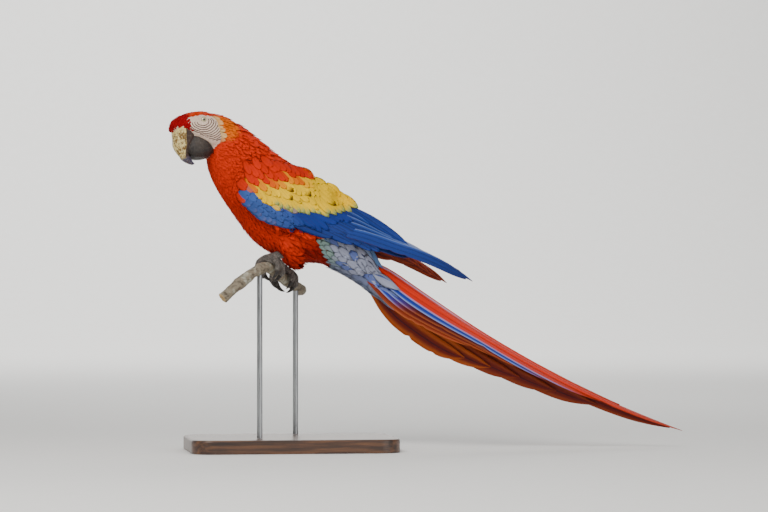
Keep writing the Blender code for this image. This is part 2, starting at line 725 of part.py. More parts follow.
def main():
    wing_cutters = [add_wing(side) for side in ("left", "right")]
    head_frame = bpy.data.objects.new("head_frame", None)
    bpy.context.scene.collection.objects.link(head_frame)
    head_frame.location = HEAD_PIVOT
    turn = Matrix.Rotation(HEAD_YAW, 4, "Z") @ Matrix.Rotation(HEAD_ROLL, 4, "X")
    head_frame.rotation_euler = (turn @ Matrix.Rotation(HEAD_PITCH, 4, "Y")).to_euler()
    head, head_cutter = add_head(head_frame)
    add_eyes(head_frame, head)
    chin_cutter = add_bill(head_frame, head_cutter)
    add_neck([head_cutter, chin_cutter] + wing_cutters)
    add_trunk(wing_cutters)
    places = steps(NECK_END + 0.2, len(BODY_ROWS) - 1.2, 16)
    body_cutter = skin_rings("body_cutter", [body_ring(p, GAP) for p in places])
    perch_cutter = add_perch()
    for side in ("left", "right"):
        thigh, thigh_cutter = add_thigh(side)
        for cutter in [body_cutter] + wing_cutters:
            add_boolean(thigh, cutter)
        add_foot(side, [perch_cutter, thigh_cutter, body_cutter])
    for number in range(len(TAIL_FEATHER_LENGTHS)):
        for side in ("left", "right"):
            add_tail_feather(side, number)
    add_upper_tail_coverts()
    add_lower_tail_coverts()
    add_stand(perch_cutter)


for old in list(bpy.data.objects):
    bpy.data.objects.remove(old)
MATERIALS = {name: make_material(name) for name in COLOURS}
main()
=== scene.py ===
# %% [markdown]
# # A scarlet macaw on its display stand
# This lesson dresses a set of plain solids as a life-size museum model of a scarlet macaw. The
# solids give every size and place. Blender then gets a skin, some thousands of small feathers,
# the long quills of wings and tail, a horn bill, glass eyes, scaly feet, a branch and a stand.
# The bird faces -X, +Z is up and its left side is towards -Y. All lengths are in metres.

import json
from itertools import product
from math import cos, pi, radians, sin, sqrt

import bmesh
import bpy
import numpy as np
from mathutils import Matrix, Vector
from mathutils import noise as mathutils_noise
from mathutils.bvhtree import BVHTree

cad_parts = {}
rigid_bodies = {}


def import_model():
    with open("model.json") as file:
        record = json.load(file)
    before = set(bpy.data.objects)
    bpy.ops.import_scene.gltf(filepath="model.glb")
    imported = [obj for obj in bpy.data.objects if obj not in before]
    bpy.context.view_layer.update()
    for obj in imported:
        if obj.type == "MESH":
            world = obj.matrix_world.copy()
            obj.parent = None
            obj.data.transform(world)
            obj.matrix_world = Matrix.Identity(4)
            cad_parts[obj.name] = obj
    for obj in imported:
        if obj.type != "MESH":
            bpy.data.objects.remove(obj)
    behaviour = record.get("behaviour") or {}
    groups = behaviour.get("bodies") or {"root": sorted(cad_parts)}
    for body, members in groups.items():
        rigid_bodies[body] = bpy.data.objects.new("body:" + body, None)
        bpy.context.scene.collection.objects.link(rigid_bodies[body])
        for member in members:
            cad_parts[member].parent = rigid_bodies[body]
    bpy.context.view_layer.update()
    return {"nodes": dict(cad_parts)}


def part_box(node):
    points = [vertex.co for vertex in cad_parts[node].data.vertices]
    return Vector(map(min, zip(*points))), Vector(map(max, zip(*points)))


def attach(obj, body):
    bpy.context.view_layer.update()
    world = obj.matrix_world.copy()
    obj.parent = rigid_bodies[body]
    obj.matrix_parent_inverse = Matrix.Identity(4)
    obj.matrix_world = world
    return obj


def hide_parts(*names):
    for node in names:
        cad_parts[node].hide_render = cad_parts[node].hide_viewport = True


MM = 0.001
SIDES = {"left": -1, "right": 1}
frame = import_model()

# %% [markdown]
# ## Camera, light and room
# A long lens far away keeps the bird's proportions true, with nothing swollen by nearness. It
# stands level with the bird, a little in front of its left side. A large soft box above, a weaker
# one in front and a pale room give even light with soft shadows under the belly and tail.

# %% Camera
AIM = Vector((0.136, 0.0, 0.281))
CAMERA_DISTANCE = 5.0
CAMERA_TURN = radians(-8)
FRAME_WIDTH = 1.114  # metres across the picture at the bird

away = Vector((sin(CAMERA_TURN), -cos(CAMERA_TURN), 0))
bpy.ops.object.camera_add(location=AIM + away * CAMERA_DISTANCE, rotation=(pi / 2, 0, CAMERA_TURN))
camera = bpy.context.object
camera.name = "camera"
camera.data.sensor_width = 36
camera.data.lens = 36 * CAMERA_DISTANCE / FRAME_WIDTH
bpy.context.scene.camera = camera


# %% Lights
def soft_box(name, place, aim, size, watts, colour=(1, 1, 1)):
    bpy.ops.object.light_add(type="AREA", location=place)
    light = bpy.context.object
    light.name = name
    light.rotation_euler = (Vector(aim) - Vector(place)).to_track_quat("-Z", "Y").to_euler()
    light.data.shape = "SQUARE"
    light.data.size = size
    light.data.energy = watts
    light.data.color = colour


# Each box: name, place, aim, side in metres, watts and colour.
soft_box("key_light", (-0.9, -1.6, 1.8), (0.05, 0, 0.3), 1.1, 50, (1.0, 0.98, 0.95))
soft_box("fill_light", (1.5, -2.2, 0.7), (0.1, 0, 0.25), 1.6, 20, (1.0, 0.99, 0.98))
soft_box("back_light", (0.7, 1.7, 1.7), (0.1, 0, 0.3), 1.2, 14)
soft_box("wall_light", (0.1, 4.2, 4.2), (0.1, 7.6, 1.2), 3.4, 330)
world = bpy.data.worlds.new("pale_room")
world.use_nodes = True
world.node_tree.nodes["Background"].inputs["Color"].default_value = (0.85, 0.86, 0.88, 1)
world.node_tree.nodes["Background"].inputs["Strength"].default_value = 0.42
bpy.context.scene.world = world


# %% [markdown]
# ## Colours and shader nodes
# Colours are picked as sRGB hex values, because screens show those, and turned linear for the
# shaders. A Look is one material, and its methods add the shader nodes that build it up.

# %% Colours
def linear(code):
    """An sRGB hex value as linear red, green and blue."""
    srgb = np.array([int(code[k : k + 2], 16) for k in (1, 3, 5)]) / 255
    return np.where(srgb <= 0.04045, srgb / 12.92, ((srgb + 0.055) / 1.055) ** 2.4)


def rgba(code):
    return (*linear(code), 1.0)


print("linear scarlet:", linear("#D6300C"))


# %% Looks
class Look:
    """A Principled material, with short ways to add shader nodes to it."""

    def __init__(self, name, sockets):
        self.material = bpy.data.materials.new(name)
        self.material.use_nodes = True
        self.tree = self.material.node_tree
        self.surface = self.tree.nodes["Principled BSDF"]
        for socket, value in sockets.items():
            self.surface.inputs[socket].default_value = value

    def node(self, kind, settings=None, inputs=None):
        """Adds a node; an input is a value, or the socket of another node to link."""
        node = self.tree.nodes.new(kind)
        for name, value in (settings or {}).items():
            setattr(node, name, value)
        for name, value in (inputs or {}).items():
            if isinstance(value, bpy.types.NodeSocket):
                self.tree.links.new(value, node.inputs[name])
            else:
                node.inputs[name].default_value = value
        return node

    def link(self, output, socket="Base Color"):
        self.tree.links.new(output, self.surface.inputs[socket])

    def tint(self):
        """The colour of each point of the piece, and how worn it is there."""
        node = self.node("ShaderNodeAttribute", {"attribute_name": "tint"})
        return node.outputs["Color"], node.outputs["Alpha"]

    def place(self):
        return self.node("ShaderNodeTexCoord").outputs["Object"]

    def maths(self, operation, first, second=0.0, clamp=False):
        settings = {"operation": operation, "use_clamp": clamp}
        return self.node("ShaderNodeMath", settings, {0: first, 1: second}).outputs[0]

    def times(self, first, second):
        return self.maths("MULTIPLY", first, second)

    def span(self, value, low, high):
        """0 below low, 1 above high, and an even slope between."""
        return self.node("ShaderNodeMapRange", inputs={0: value, 1: low, 2: high}).outputs[0]

    def ramp(self, factor, *stops):
        """A colour ramp over hex colours at places from 0 to 1."""
        node = self.node("ShaderNodeValToRGB", inputs={"Fac": factor})
        elements = node.color_ramp.elements
        while len(elements) < len(stops):
            elements.new(0.5)
        for element, (place, code) in zip(elements, stops):
            element.position = place
            element.color = rgba(code)
        return node.outputs["Color"]

    def mix(self, factor, first, second, blend="MIX"):
        """Mixes two colours, each a hex value or a socket."""
        first, second = (rgba(c) if isinstance(c, str) else c for c in (first, second))
        settings = {"data_type": "RGBA", "blend_type": blend}
        inputs = {0: factor, 6: first, 7: second}
        return self.node("ShaderNodeMix", settings, inputs).outputs[2]

    def noise(self, scale, detail=4.0, stretch=(1, 1, 1), roughness=0.5):
        """Noise on the piece's own coordinates; scale counts waves per metre."""
        inputs = {"Vector": self.place(), "Scale": stretch}
        stretched = self.node("ShaderNodeMapping", inputs=inputs).outputs["Vector"]
        inputs = {"Vector": stretched, "Scale": scale, "Detail": detail, "Roughness": roughness}
        return self.node("ShaderNodeTexNoise", inputs=inputs).outputs["Fac"]

    def bump(self, height, depth):
        """Raises a height map by a depth in metres."""
        inputs = {"Height": height, "Distance": depth, "Strength": 1.0}
        self.link(self.node("ShaderNodeBump", inputs=inputs).outputs["Normal"], "Normal")


# %% [markdown]
# ## Floor and backdrop
# A studio sweep: a floor that curves up into a wall, so no edge shows behind the bird. It is an
# edge of a plane pulled up with extrude and rounded with a bevel.

# %% Floor
def deselect_all():
    if bpy.context.mode != "OBJECT":
        bpy.ops.object.mode_set(mode="OBJECT")
    bpy.ops.object.select_all(action="DESELECT")


def select_only(obj):
    deselect_all()
    obj.select_set(True)
    bpy.context.view_layer.objects.active = obj


SWEEP_SIZE = 15  # metres along each side of the floor
WALL_LINE = 7  # the wall stands behind this y
deselect_all()
bpy.ops.mesh.primitive_plane_add(size=SWEEP_SIZE, location=(0.1, 0, 0))
sweep = bpy.context.object
sweep.name = "studio_sweep"
bpy.ops.object.transform_apply(location=True)
for edge in sweep.data.edges:
    ends = [sweep.data.vertices[v].co.y for v in edge.vertices]
    edge.select = min(ends) > WALL_LINE
for vertex in sweep.data.vertices:
    vertex.select = vertex.co.y > WALL_LINE
for face in sweep.data.polygons:
    face.select = False
bpy.ops.object.mode_set(mode="EDIT")
bpy.ops.mesh.select_mode(type="EDGE")
bpy.ops.mesh.extrude_region_move(TRANSFORM_OT_translate={"value": (0, 0, 6)})
bpy.ops.object.mode_set(mode="OBJECT")
fold = sweep.modifiers.new("fold", "BEVEL")
fold.width = 2.0
fold.segments = 12
bpy.ops.object.modifier_apply(modifier="fold")
bpy.ops.object.shade_smooth()

# Matt painted board: a very rough surface that scatters light evenly.
board = Look("painted_board", {"Roughness": 0.9})
board.link(board.mix(board.noise(40), "#ECEBE7", "#F1F0ED"))
sweep.data.materials.append(board.material)


# %% [markdown]
# ## Reading the solids
# The solids carry the pose. A copy of one, merged into a whole mesh, can be measured: the nearest
# place on it, the smooth normal there, or its section through a plane. Everything that is laid on
# the bird later asks one of these questions.

# %% Mesh helpers
def unit(vectors):
    return vectors / np.maximum(np.linalg.norm(vectors, axis=-1, keepdims=True), 1e-12)


def new_object(name, mesh):
    obj = bpy.data.objects.new(name, mesh)
    bpy.context.scene.collection.objects.link(obj)
    return obj


def merged_copy(name, nodes):
    """One mesh object made of merged copies of solids."""
    shape = bmesh.new()
    for node in nodes:
        shape.from_mesh(frame["nodes"][node].data)
    bmesh.ops.remove_doubles(shape, verts=shape.verts, dist=1e-6)
    mesh = bpy.data.meshes.new(name)
    shape.to_mesh(mesh)
    shape.free()
    return new_object(name, mesh)


def apply_modifier(obj, kind, **settings):
    select_only(obj)
    modifier = obj.modifiers.new(kind.lower(), kind)
    for name, value in settings.items():
        setattr(modifier, name, value)
    bpy.ops.object.modifier_apply(modifier=modifier.name)


def read(collection, name, width=3):
    values = np.empty(len(collection) * width)
    collection.foreach_get(name, values)
    return values.reshape(-1, width)


def write_points(obj, points):
    obj.data.vertices.foreach_set("co", points.ravel())
    obj.data.update()


# %% Surfaces to lay things on
class Surface:
    """A triangle mesh that answers where its nearest place is, with a smooth normal."""

    def __init__(self, obj):
        mesh = obj.data
        mesh.calc_loop_triangles()
        self.points = read(mesh.vertices, "co")
        self.normals = read(mesh.vertices, "normal")
        self.faces = read(mesh.loop_triangles, "vertices").astype(int)
        self.corners = read(mesh.loop_triangles, "loops").astype(int)
        self.tree = BVHTree.FromPolygons(self.points.tolist(), self.faces.tolist())

    def smooth(self, place, face):
        """The smooth normal at places, and their faces and corner weights."""
        a, b, c = np.moveaxis(self.points[self.faces[face]], 1, 0)
        whole = np.cross(b - a, c - a)
        area = np.maximum((whole * whole).sum(1), 1e-20)
        second = (np.cross(place - a, c - a) * whole).sum(1) / area
        third = (np.cross(b - a, place - a) * whole).sum(1) / area
        weights = np.clip(np.stack([1 - second - third, second, third], 1), 0, 1)
        return unit((self.normals[self.faces[face]] * weights[:, :, None]).sum(1)), face, weights

    def nearest(self, points):
        """Nearest places, smooth normals, faces and corner weights."""
        found = [self.tree.find_nearest(point) for point in points.tolist()]
        place = np.array([hit[0] for hit in found])
        return place, *self.smooth(place, np.array([hit[2] for hit in found]))

    def cast(self, points, outward):
        """Places and smooth normals straight below points, looking in from outside."""
        place, _, face, _ = self.nearest(points)
        outward = Vector(outward)
        for k, point in enumerate(points.tolist()):
            hit, _, index, _ = self.tree.ray_cast(Vector(point) + outward * 0.3, -outward)
            if hit:
                place[k], face[k] = hit, index
        return place, self.smooth(place, face)[0]

    def distance(self, points):
        return np.array([self.tree.find_nearest(point)[3] for point in points.tolist()])

    def side_hit(self, sign, x, z):
        """Where a ray sent in level from one side of the bird meets the mesh, or None."""
        return self.tree.ray_cast(Vector((x, 0.3 * sign, z)), Vector((0, -sign, 0)))[0]


def mesh_surface(name, points, faces):
    mesh = bpy.data.meshes.new(name)
    mesh.from_pydata(points.reshape(-1, 3).tolist(), [], faces.tolist())
    return Surface(new_object(name, mesh))


def cells(index):
    """The corners of each cell of a grid of point numbers, as four-sided faces."""
    corners = [index[:-1, :-1], index[1:, :-1], index[1:, 1:], index[:-1, 1:]]
    return np.stack(corners, 2).reshape(-1, 4)


FLIP = [0, 3, 2, 1]  # turns the cells' faces over


# %% [markdown]
# ## The head's own directions
# The head turns, nods and leans, so marks on it are placed in its own frame: from the left eye
# to the right, from the bill back to the nape, and up. The two eyes and the bill give all three.

# %% Head frame
def middle_of(node):
    low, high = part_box(node)
    return np.array((low + high) / 2)


eyes = {side: middle_of(f"eye_{side}") for side in SIDES}
eye_radius = (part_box("eye_left")[1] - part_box("eye_left")[0]).x / 2
head_right = unit(eyes["right"] - eyes["left"])
bill_middle = middle_of("bill_upper")
head_back = (eyes["left"] + eyes["right"]) / 2 - bill_middle
head_back = unit(head_back - head_right * head_back.dot(head_right))
head_up = np.cross(head_back, head_right)
# The bill's middle lies below the line of the eyes, so the frame is tipped back to level.
BILL_TIP_DOWN = radians(37.5)
head_back, head_up = (
    head_back * cos(BILL_TIP_DOWN) - head_up * sin(BILL_TIP_DOWN),
    head_up * cos(BILL_TIP_DOWN) + head_back * sin(BILL_TIP_DOWN),
)
HEAD_AXES = np.stack([head_back, head_right, head_up])
head_centre = (eyes["left"] + eyes["right"]) / 2


def in_head(points):
    """Back, right and up from the middle between the eyes, in millimetres."""
    return (points - head_centre) @ HEAD_AXES.T / MM


def from_head(places):
    return head_centre + np.asarray(places, float) * MM @ HEAD_AXES


print("eyes apart:", np.linalg.norm(eyes["right"] - eyes["left"]))
print("head back and up:", head_back, head_up)


# %% [markdown]
# ## Marks on the head
# A macaw's cheek is bare, pale skin round the eye down to the lower bill. Its outline and that of
# the horn, both seen from the side, keep feathers off them. The horn's base sits in the skin, so
# the skin is drawn in behind it.

# %% Face and horn outlines
# Back and up from the eye in millimetres, round the bare skin and round the bill.
FACE_EDGE = ((-22.5, 6.5), (-14, 6), (-4.6, 5.6), (6.2, 3), (15.5, -1), (18.5, -5.5))
FACE_EDGE += ((17.5, -12.4), (15.5, -21.5), (15, -28), (15.5, -36), (12.5, -40.3))
FACE_EDGE += ((6.2, -44), (0.6, -48))
FACE_EDGE += ((-6, -44), (-20, -32), (-30, -20), (-28.5, -13), (-26.5, -8), (-24, 0))
HORN_EDGE = ((-70, -16), (-51.5, -15), (-49, -9), (-44.5, -5.5), (-38, -4), (-31, -5), (-26, -8.5))
HORN_EDGE += ((-22, -11.5), (-19.2, -16.5), (-17.7, -19.7), (-11.4, -23.3), (-6.3, -28.6))
HORN_EDGE += ((-0.4, -34.9), (3.2, -41.1), (2.6, -46.8), (-2, -53), (-8.6, -58))
HORN_EDGE += ((-24, -66), (-70, -66))


# %% How far inside an outline
def depth_inside(edge, points):
    """Millimetres inside an outline on the side of the head; less than nothing outside it."""
    back, side, up = in_head(points).T
    if edge is HORN_EDGE:
        # The base of the bill curves back towards its ridge, and forward over the cheek.
        ridge = np.clip(10 - np.abs(side), -12, 10) * ease(up, -20, -10)
        cheek = np.clip(np.abs(side) - 15, 0, 9) * ease(up, -12, -20)
        back, up = back - 0.59 * ridge + 0.47 * cheek, up - 0.09 * ridge + 0.2 * cheek
    edge = np.array(edge, float)
    x0, z0 = edge.T
    x1, z1 = np.roll(edge, -1, axis=0).T
    crosses = (z0 > up[:, None]) != (z1 > up[:, None])
    reach = x0 + (up[:, None] - z0) * (x1 - x0) / (z1 - z0 + 1e-9)
    inside = (crosses & (back[:, None] < reach)).sum(1) % 2 == 1
    step = np.stack([x1 - x0, z1 - z0], 1)
    ahead = np.stack([back, up], 1)[:, None, :] - edge
    share = np.clip((ahead * step).sum(2) / (step * step).sum(1), 0, 1)
    gap = np.linalg.norm(ahead - share[:, :, None] * step, axis=2).min(1)
    return np.where(inside, gap, -gap)


def inside_face(points, margin=0.0):
    """True where a point lies over the bare cheek."""
    side = np.abs(in_head(points)[:, 1])
    clear = depth_inside(HORN_EDGE, points) < -margin
    return (depth_inside(FACE_EDGE, points) > margin) & clear & (side > 9)


# %% [markdown]
# ## The skin
# Under the feathers a bird is one unbroken skin. The flesh solids are joined and remeshed with
# voxels, which melts their seams together, then smoothed, and drawn in by the depth of the coat:
# a few millimetres on the body, almost nothing on the face.

# %% Flesh solids and their coat
THIGHS = ["thigh_left", "thigh_right"]
WINGS = ["wing_left", "wing_right"]
FLESH = ["head", "neck", "trunk"] + THIGHS + WINGS
VOXEL = 2.0 * MM
BODY_COAT = 3.2 * MM
FACE_COAT = 0.6 * MM
EYE_SOCKET = 1.6 * MM  # how much deeper the skin is drawn in over the eye


def ease(value, low, high):
    share = np.clip((value - low) / (high - low), 0, 1)
    return share * share * (3 - 2 * share)


def largest_island(obj):
    """Drops what the voxels closed off inside."""
    shape = bmesh.new()
    shape.from_mesh(obj.data)
    left, islands = set(shape.verts), []
    while left:
        edge = [left.pop()]
        island = set(edge)
        while edge:
            near = {v for link in edge.pop().link_edges for v in link.verts} - island
            island |= near
            edge += near
        left -= island
        islands.append(island)
    keep = max(islands, key=len)
    bmesh.ops.delete(shape, geom=[v for v in shape.verts if v not in keep], context="VERTS")
    shape.to_mesh(obj.data)
    shape.free()


# %% Skin
skin = merged_copy("skin_under_plumage", FLESH + ["eye_left", "eye_right"])
apply_modifier(skin, "REMESH", mode="VOXEL", voxel_size=VOXEL)
largest_island(skin)
apply_modifier(skin, "SMOOTH", factor=0.5, iterations=6)
outer_skin = Surface(skin)
in_face = in_head(outer_skin.points)
bare = ease(in_face[:, 0], 24, 8) * ease(in_face[:, 2], -46, -36)
depth = BODY_COAT + (FACE_COAT - BODY_COAT) * bare
round_eye = np.hypot(in_face[:, 0], in_face[:, 2])
depth += EYE_SOCKET * ease(round_eye, 8, 2) * (np.abs(in_face[:, 1]) > 12)
co = outer_skin.points - outer_skin.normals * depth[:, None]
# Behind the bill the skin sinks in, so that only horn shows there.
sunk = ease(depth_inside(HORN_EDGE, outer_skin.points), -1.2, 2.0)
in_face[:, 1] = in_face[:, 1] * (1 - sunk) + np.clip(in_face[:, 1], -8, 8) * sunk
in_face[:, 0] = in_face[:, 0] * (1 - sunk) + np.maximum(in_face[:, 0], -34) * sunk
co = np.where(sunk[:, None] > 0, from_head(in_face), co)
write_points(skin, co)
apply_modifier(skin, "SMOOTH", factor=0.4, iterations=3)

# %% Unwrap the skin
bpy.ops.object.shade_smooth()
bpy.ops.object.mode_set(mode="EDIT")
bpy.ops.mesh.select_all(action="SELECT")
bpy.ops.uv.smart_project(angle_limit=radians(66), island_margin=0.003)
bpy.ops.object.mode_set(mode="OBJECT")
skin.data.uv_layers.active.name = "OFBake"
skin_surface = Surface(skin)
skin_map = read(skin.data.uv_layers["OFBake"].uv, "vector", 2)
print("skin faces:", len(skin.data.polygons))

# %% [markdown]
# ## Markings
# Skin and feathers are coloured by the same functions of place, so a gap between two feathers
# shows the same marking. A scarlet macaw is scarlet, deeper on the forehead and more orange
# behind the face; its wing coverts are yellow between scarlet shoulders and blue quills. Painted
# shade darkens the red towards the underside, and most on the belly.

# %% Marking functions
rng = np.random.default_rng(5)


def plain(code, like):
    """One hex colour, as linear red, green and blue for each of some points."""
    return np.tile(linear(code), (len(like), 1))


def paint(colours, code, share):
    """Lays a hex colour over an array of colours by a share from 0 to 1."""
    share = np.asarray(share)[:, None]
    colours[:] = colours * (1 - share) + linear(code) * share


def body_colour(points):
    x, _, z = (points / MM).T
    back, side, up = in_head(points).T
    colours = plain("#D6300C", points)
    flank = x + np.where(z < 307, 0.5, -0.35) * (z - 307)
    # Painted shade: a deeper red towards the underside of the body, and a near-black red on the
    # belly between the legs and the tail.
    paint(colours, "#A81A0C", 0.4 * ease(x + z, 320, 250))
    paint(colours, "#6E0C0A", 0.8 * ease(z, 308, 288) * ease(x, 4, 22))
    paint(colours, "#8FB0A0", ease(flank, 33, 42))
    paint(colours, "#A3A9C2", ease(flank, 46, 58))
    paint(colours, "#6E9AC8", ease(flank, 40, 56) * ease(z + 0.55 * x, 338, 350))
    ear = np.hypot((back - 30) / 17, (up + 20) / 21)
    paint(colours, "#E66804", ease(ear, 1.3, 0.7) * ease(abs(side), 8, 18))
    paint(colours, "#DA3E0A", ease(up, 2, 8) * ease(back, 40, 14))
    rear = np.interp(up, (-44, -36, -21, -8, -2), (8, 16, 15, 18, 17))
    strip = ease(back, rear + 9.5, rear + 6) * ease(up, -43, -36)
    strip = strip * ease(up, 2, -4) * ease(abs(side), 9, 16)
    paint(colours, "#E8C080", 0.95 * strip * (back > rear - 3))
    paint(colours, "#A30812", ease(back, -13, -20) * ease(up, -22, -12))
    paint(colours, "#8A1A12", ease(back, 2, -8) * ease(up, -44, -50))
    return colours


# The yellow band of the wing, from the bend to its top edge: x, lower z and upper z.
BAND = np.array(
    ((-70, 378, 379), (-54, 368, 385), (-43, 356, 388), (-26, 353, 391), (12, 344, 397))
    + ((42, 341, 400), (66, 344, 400), (90, 350, 390))
)


def band_low(x):
    return np.interp(x, BAND[:, 0], BAND[:, 1])


def wing_colour(points):
    x, _, z = (points / MM).T
    low, high = band_low(x), np.interp(x, BAND[:, 0], BAND[:, 2])
    ragged = rng.normal(0, 2.2, len(x))
    colours = plain("#F6C600", points)
    paint(colours, "#E27A04", ease(z, high - 16, high - 6) * 0.9)
    paint(colours, "#C82806", ease(z + ragged, high - 7, high + 1))
    paint(colours, "#A8A83C", 0.45 * ease(z, low + 11, low + 2) * ease(x, -20, 0))
    blue = np.maximum(ease(z, low + 1, low - 2), ease(x, 96, 106))
    paint(colours, "#213A88", blue)
    paint(colours, "#3C5A9C", blue * ease(x, 20, -40))
    paint(colours, "#C82A0C", ease(x, -74, -76))
    return colours


# %% [markdown]
# ## One feather
# A contour feather is a thin vane, narrow and sunk at its root, widest past its middle and
# rounded at its tip, arched across its shaft. It is modelled once from a grid: the rim is pulled
# to the outline, and extruding the face gives it a reverse side. Every other feather is a copy
# bent onto the bird, with its own mesh data inside one joined piece.

# %% Feather template
def feather_outline(t, blunt):
    """Half width along the feather, as a share of the widest."""
    root = 0.34 + 0.66 * np.sin(np.clip(t / 0.5, 0, 1) * pi / 2)
    tip = np.clip(1 - np.clip((t - 0.5) / 0.51, 0, 1) ** blunt, 0, 1) ** 0.75
    return root * np.maximum(tip, 0.06)


def feather_template(columns, rows, blunt):
    """A closed vane: places across and along, its side, and its faces."""
    deselect_all()
    bpy.ops.mesh.primitive_grid_add(x_subdivisions=columns, y_subdivisions=rows, size=2)
    obj = bpy.context.object
    for vertex in obj.data.vertices:
        vertex.co.y = ((vertex.co.y + 1) / 2) ** 0.9
        vertex.co.x *= feather_outline(vertex.co.y, blunt)
    shape = bmesh.new()
    shape.from_mesh(obj.data)
    shape.verts.ensure_lookup_table()
    # The reverse side shares the rim, and has its own points inside it.
    inner = [v.index for v in shape.verts if not v.is_boundary]
    top_count = len(shape.verts)
    below = {v: v for v in range(top_count)}
    below.update({v: top_count + k for k, v in enumerate(inner)})
    faces = [[v.index for v in face.verts] for face in shape.faces]
    places = np.array([v.co for v in shape.verts] + [shape.verts[v].co for v in inner])
    under = np.repeat((0, 1), (top_count, len(inner)))
    faces += [[below[v] for v in reversed(face)] for face in faces]
    shape.free()
    bpy.data.objects.remove(obj)
    return places[:, 0], places[:, 1], under, np.array(faces)


BODY_FEATHER = feather_template(4, 6, 2.2)
COVERT_FEATHER = feather_template(4, 8, 2.1)
POINTED_FEATHER = feather_template(6, 10, 1.1)
LONG_FEATHER = feather_template(6, 18, 3.2)
print("faces of a feather:", [len(t[3]) for t in (BODY_FEATHER, COVERT_FEATHER, LONG_FEATHER)])


# %% Meshes from arrays
def mesh_piece(name, points, faces, maps, tint, material):
    """A piece from arrays of points and four-sided faces, with UV maps and a colour."""
    mesh = bpy.data.meshes.new(name)
    mesh.vertices.add(len(points))
    mesh.vertices.foreach_set("co", np.asarray(points, np.float32).ravel())
    mesh.loops.add(faces.size)
    mesh.loops.foreach_set("vertex_index", faces.ravel().astype(np.int32))
    mesh.polygons.add(len(faces))
    mesh.polygons.foreach_set("loop_start", np.arange(0, faces.size, 4, dtype=np.int32))
    mesh.polygons.foreach_set("use_smooth", np.ones(len(faces), bool))
    mesh.update(calc_edges=True)
    for label, places in maps.items():
        layer = mesh.uv_layers.new(name=label)
        layer.uv.foreach_set("vector", places[faces.ravel()].astype(np.float32).ravel())
    add_tint(mesh, tint)
    mesh.materials.append(material)
    obj = new_object(name, mesh)
    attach(obj, "root")
    return obj


def add_tint(mesh, tint, wear=1.0):
    """Colour per point, with how worn it is there as its alpha."""
    layer = mesh.attributes.new("tint", "FLOAT_COLOR", "POINT")
    worn = np.broadcast_to(wear, len(tint))[:, None]
    full = np.concatenate([np.clip(tint, 0, 1), worn], 1)
    layer.data.foreach_set("color", full.astype(np.float32).ravel())


# %% [markdown]
# ## Feather finish
# A vane is keratin barbs side by side: it looks like satin cloth with a fine oblique grain, and a
# paler or darker shaft runs down its middle. Real barbs are about 0.3 mm apart, too fine to show
# here, so the grain is drawn three times as coarse.

# %% Feather material
def feather_material(name, roughness, gloss, barbs, shaft_code, shaft_share):
    look = Look(name, {"Roughness": roughness, "Specular IOR Level": gloss})
    vane = look.node("ShaderNodeUVMap", {"uv_map": "vane"}).outputs["UV"]
    split = look.node("ShaderNodeSeparateXYZ", inputs={"Vector": vane}).outputs
    aside = look.maths("ABSOLUTE", look.maths("SUBTRACT", split["X"], 0.5))
    slant = look.maths("SUBTRACT", split["Y"], look.times(aside, 0.6))
    wave = look.maths("SINE", look.times(slant, barbs * 2 * pi))
    shaft = look.maths("LESS_THAN", aside, 0.035)
    grain = look.maths("MULTIPLY_ADD", wave, 0.06)
    light = look.mix(look.maths("ADD", grain, 0.5, True), "#DADADA", "#FFFFFF")
    colour = look.mix(1.0, look.tint()[0], light, "MULTIPLY")
    look.link(look.mix(look.times(shaft, shaft_share), colour, shaft_code))
    look.bump(look.maths("ADD", look.times(wave, 0.25), shaft), 0.12 * MM)
    return look.material


soft_feather = feather_material("contour_feathers", 0.75, 0.08, 12, "#5A1410", 0.10)
quill_vane = feather_material("quill_vanes", 0.50, 0.20, 46, "#10142C", 0.55)


# %% [markdown]
# ## Laying feathers
# Feathers lie like roof tiles: each root is sunk in the skin and each tip rests on the feathers
# behind it. A copy of the template is set on its root's tangent plane and then pressed onto the
# surface along the root's normal, so that it follows the body and may still overhang an edge.

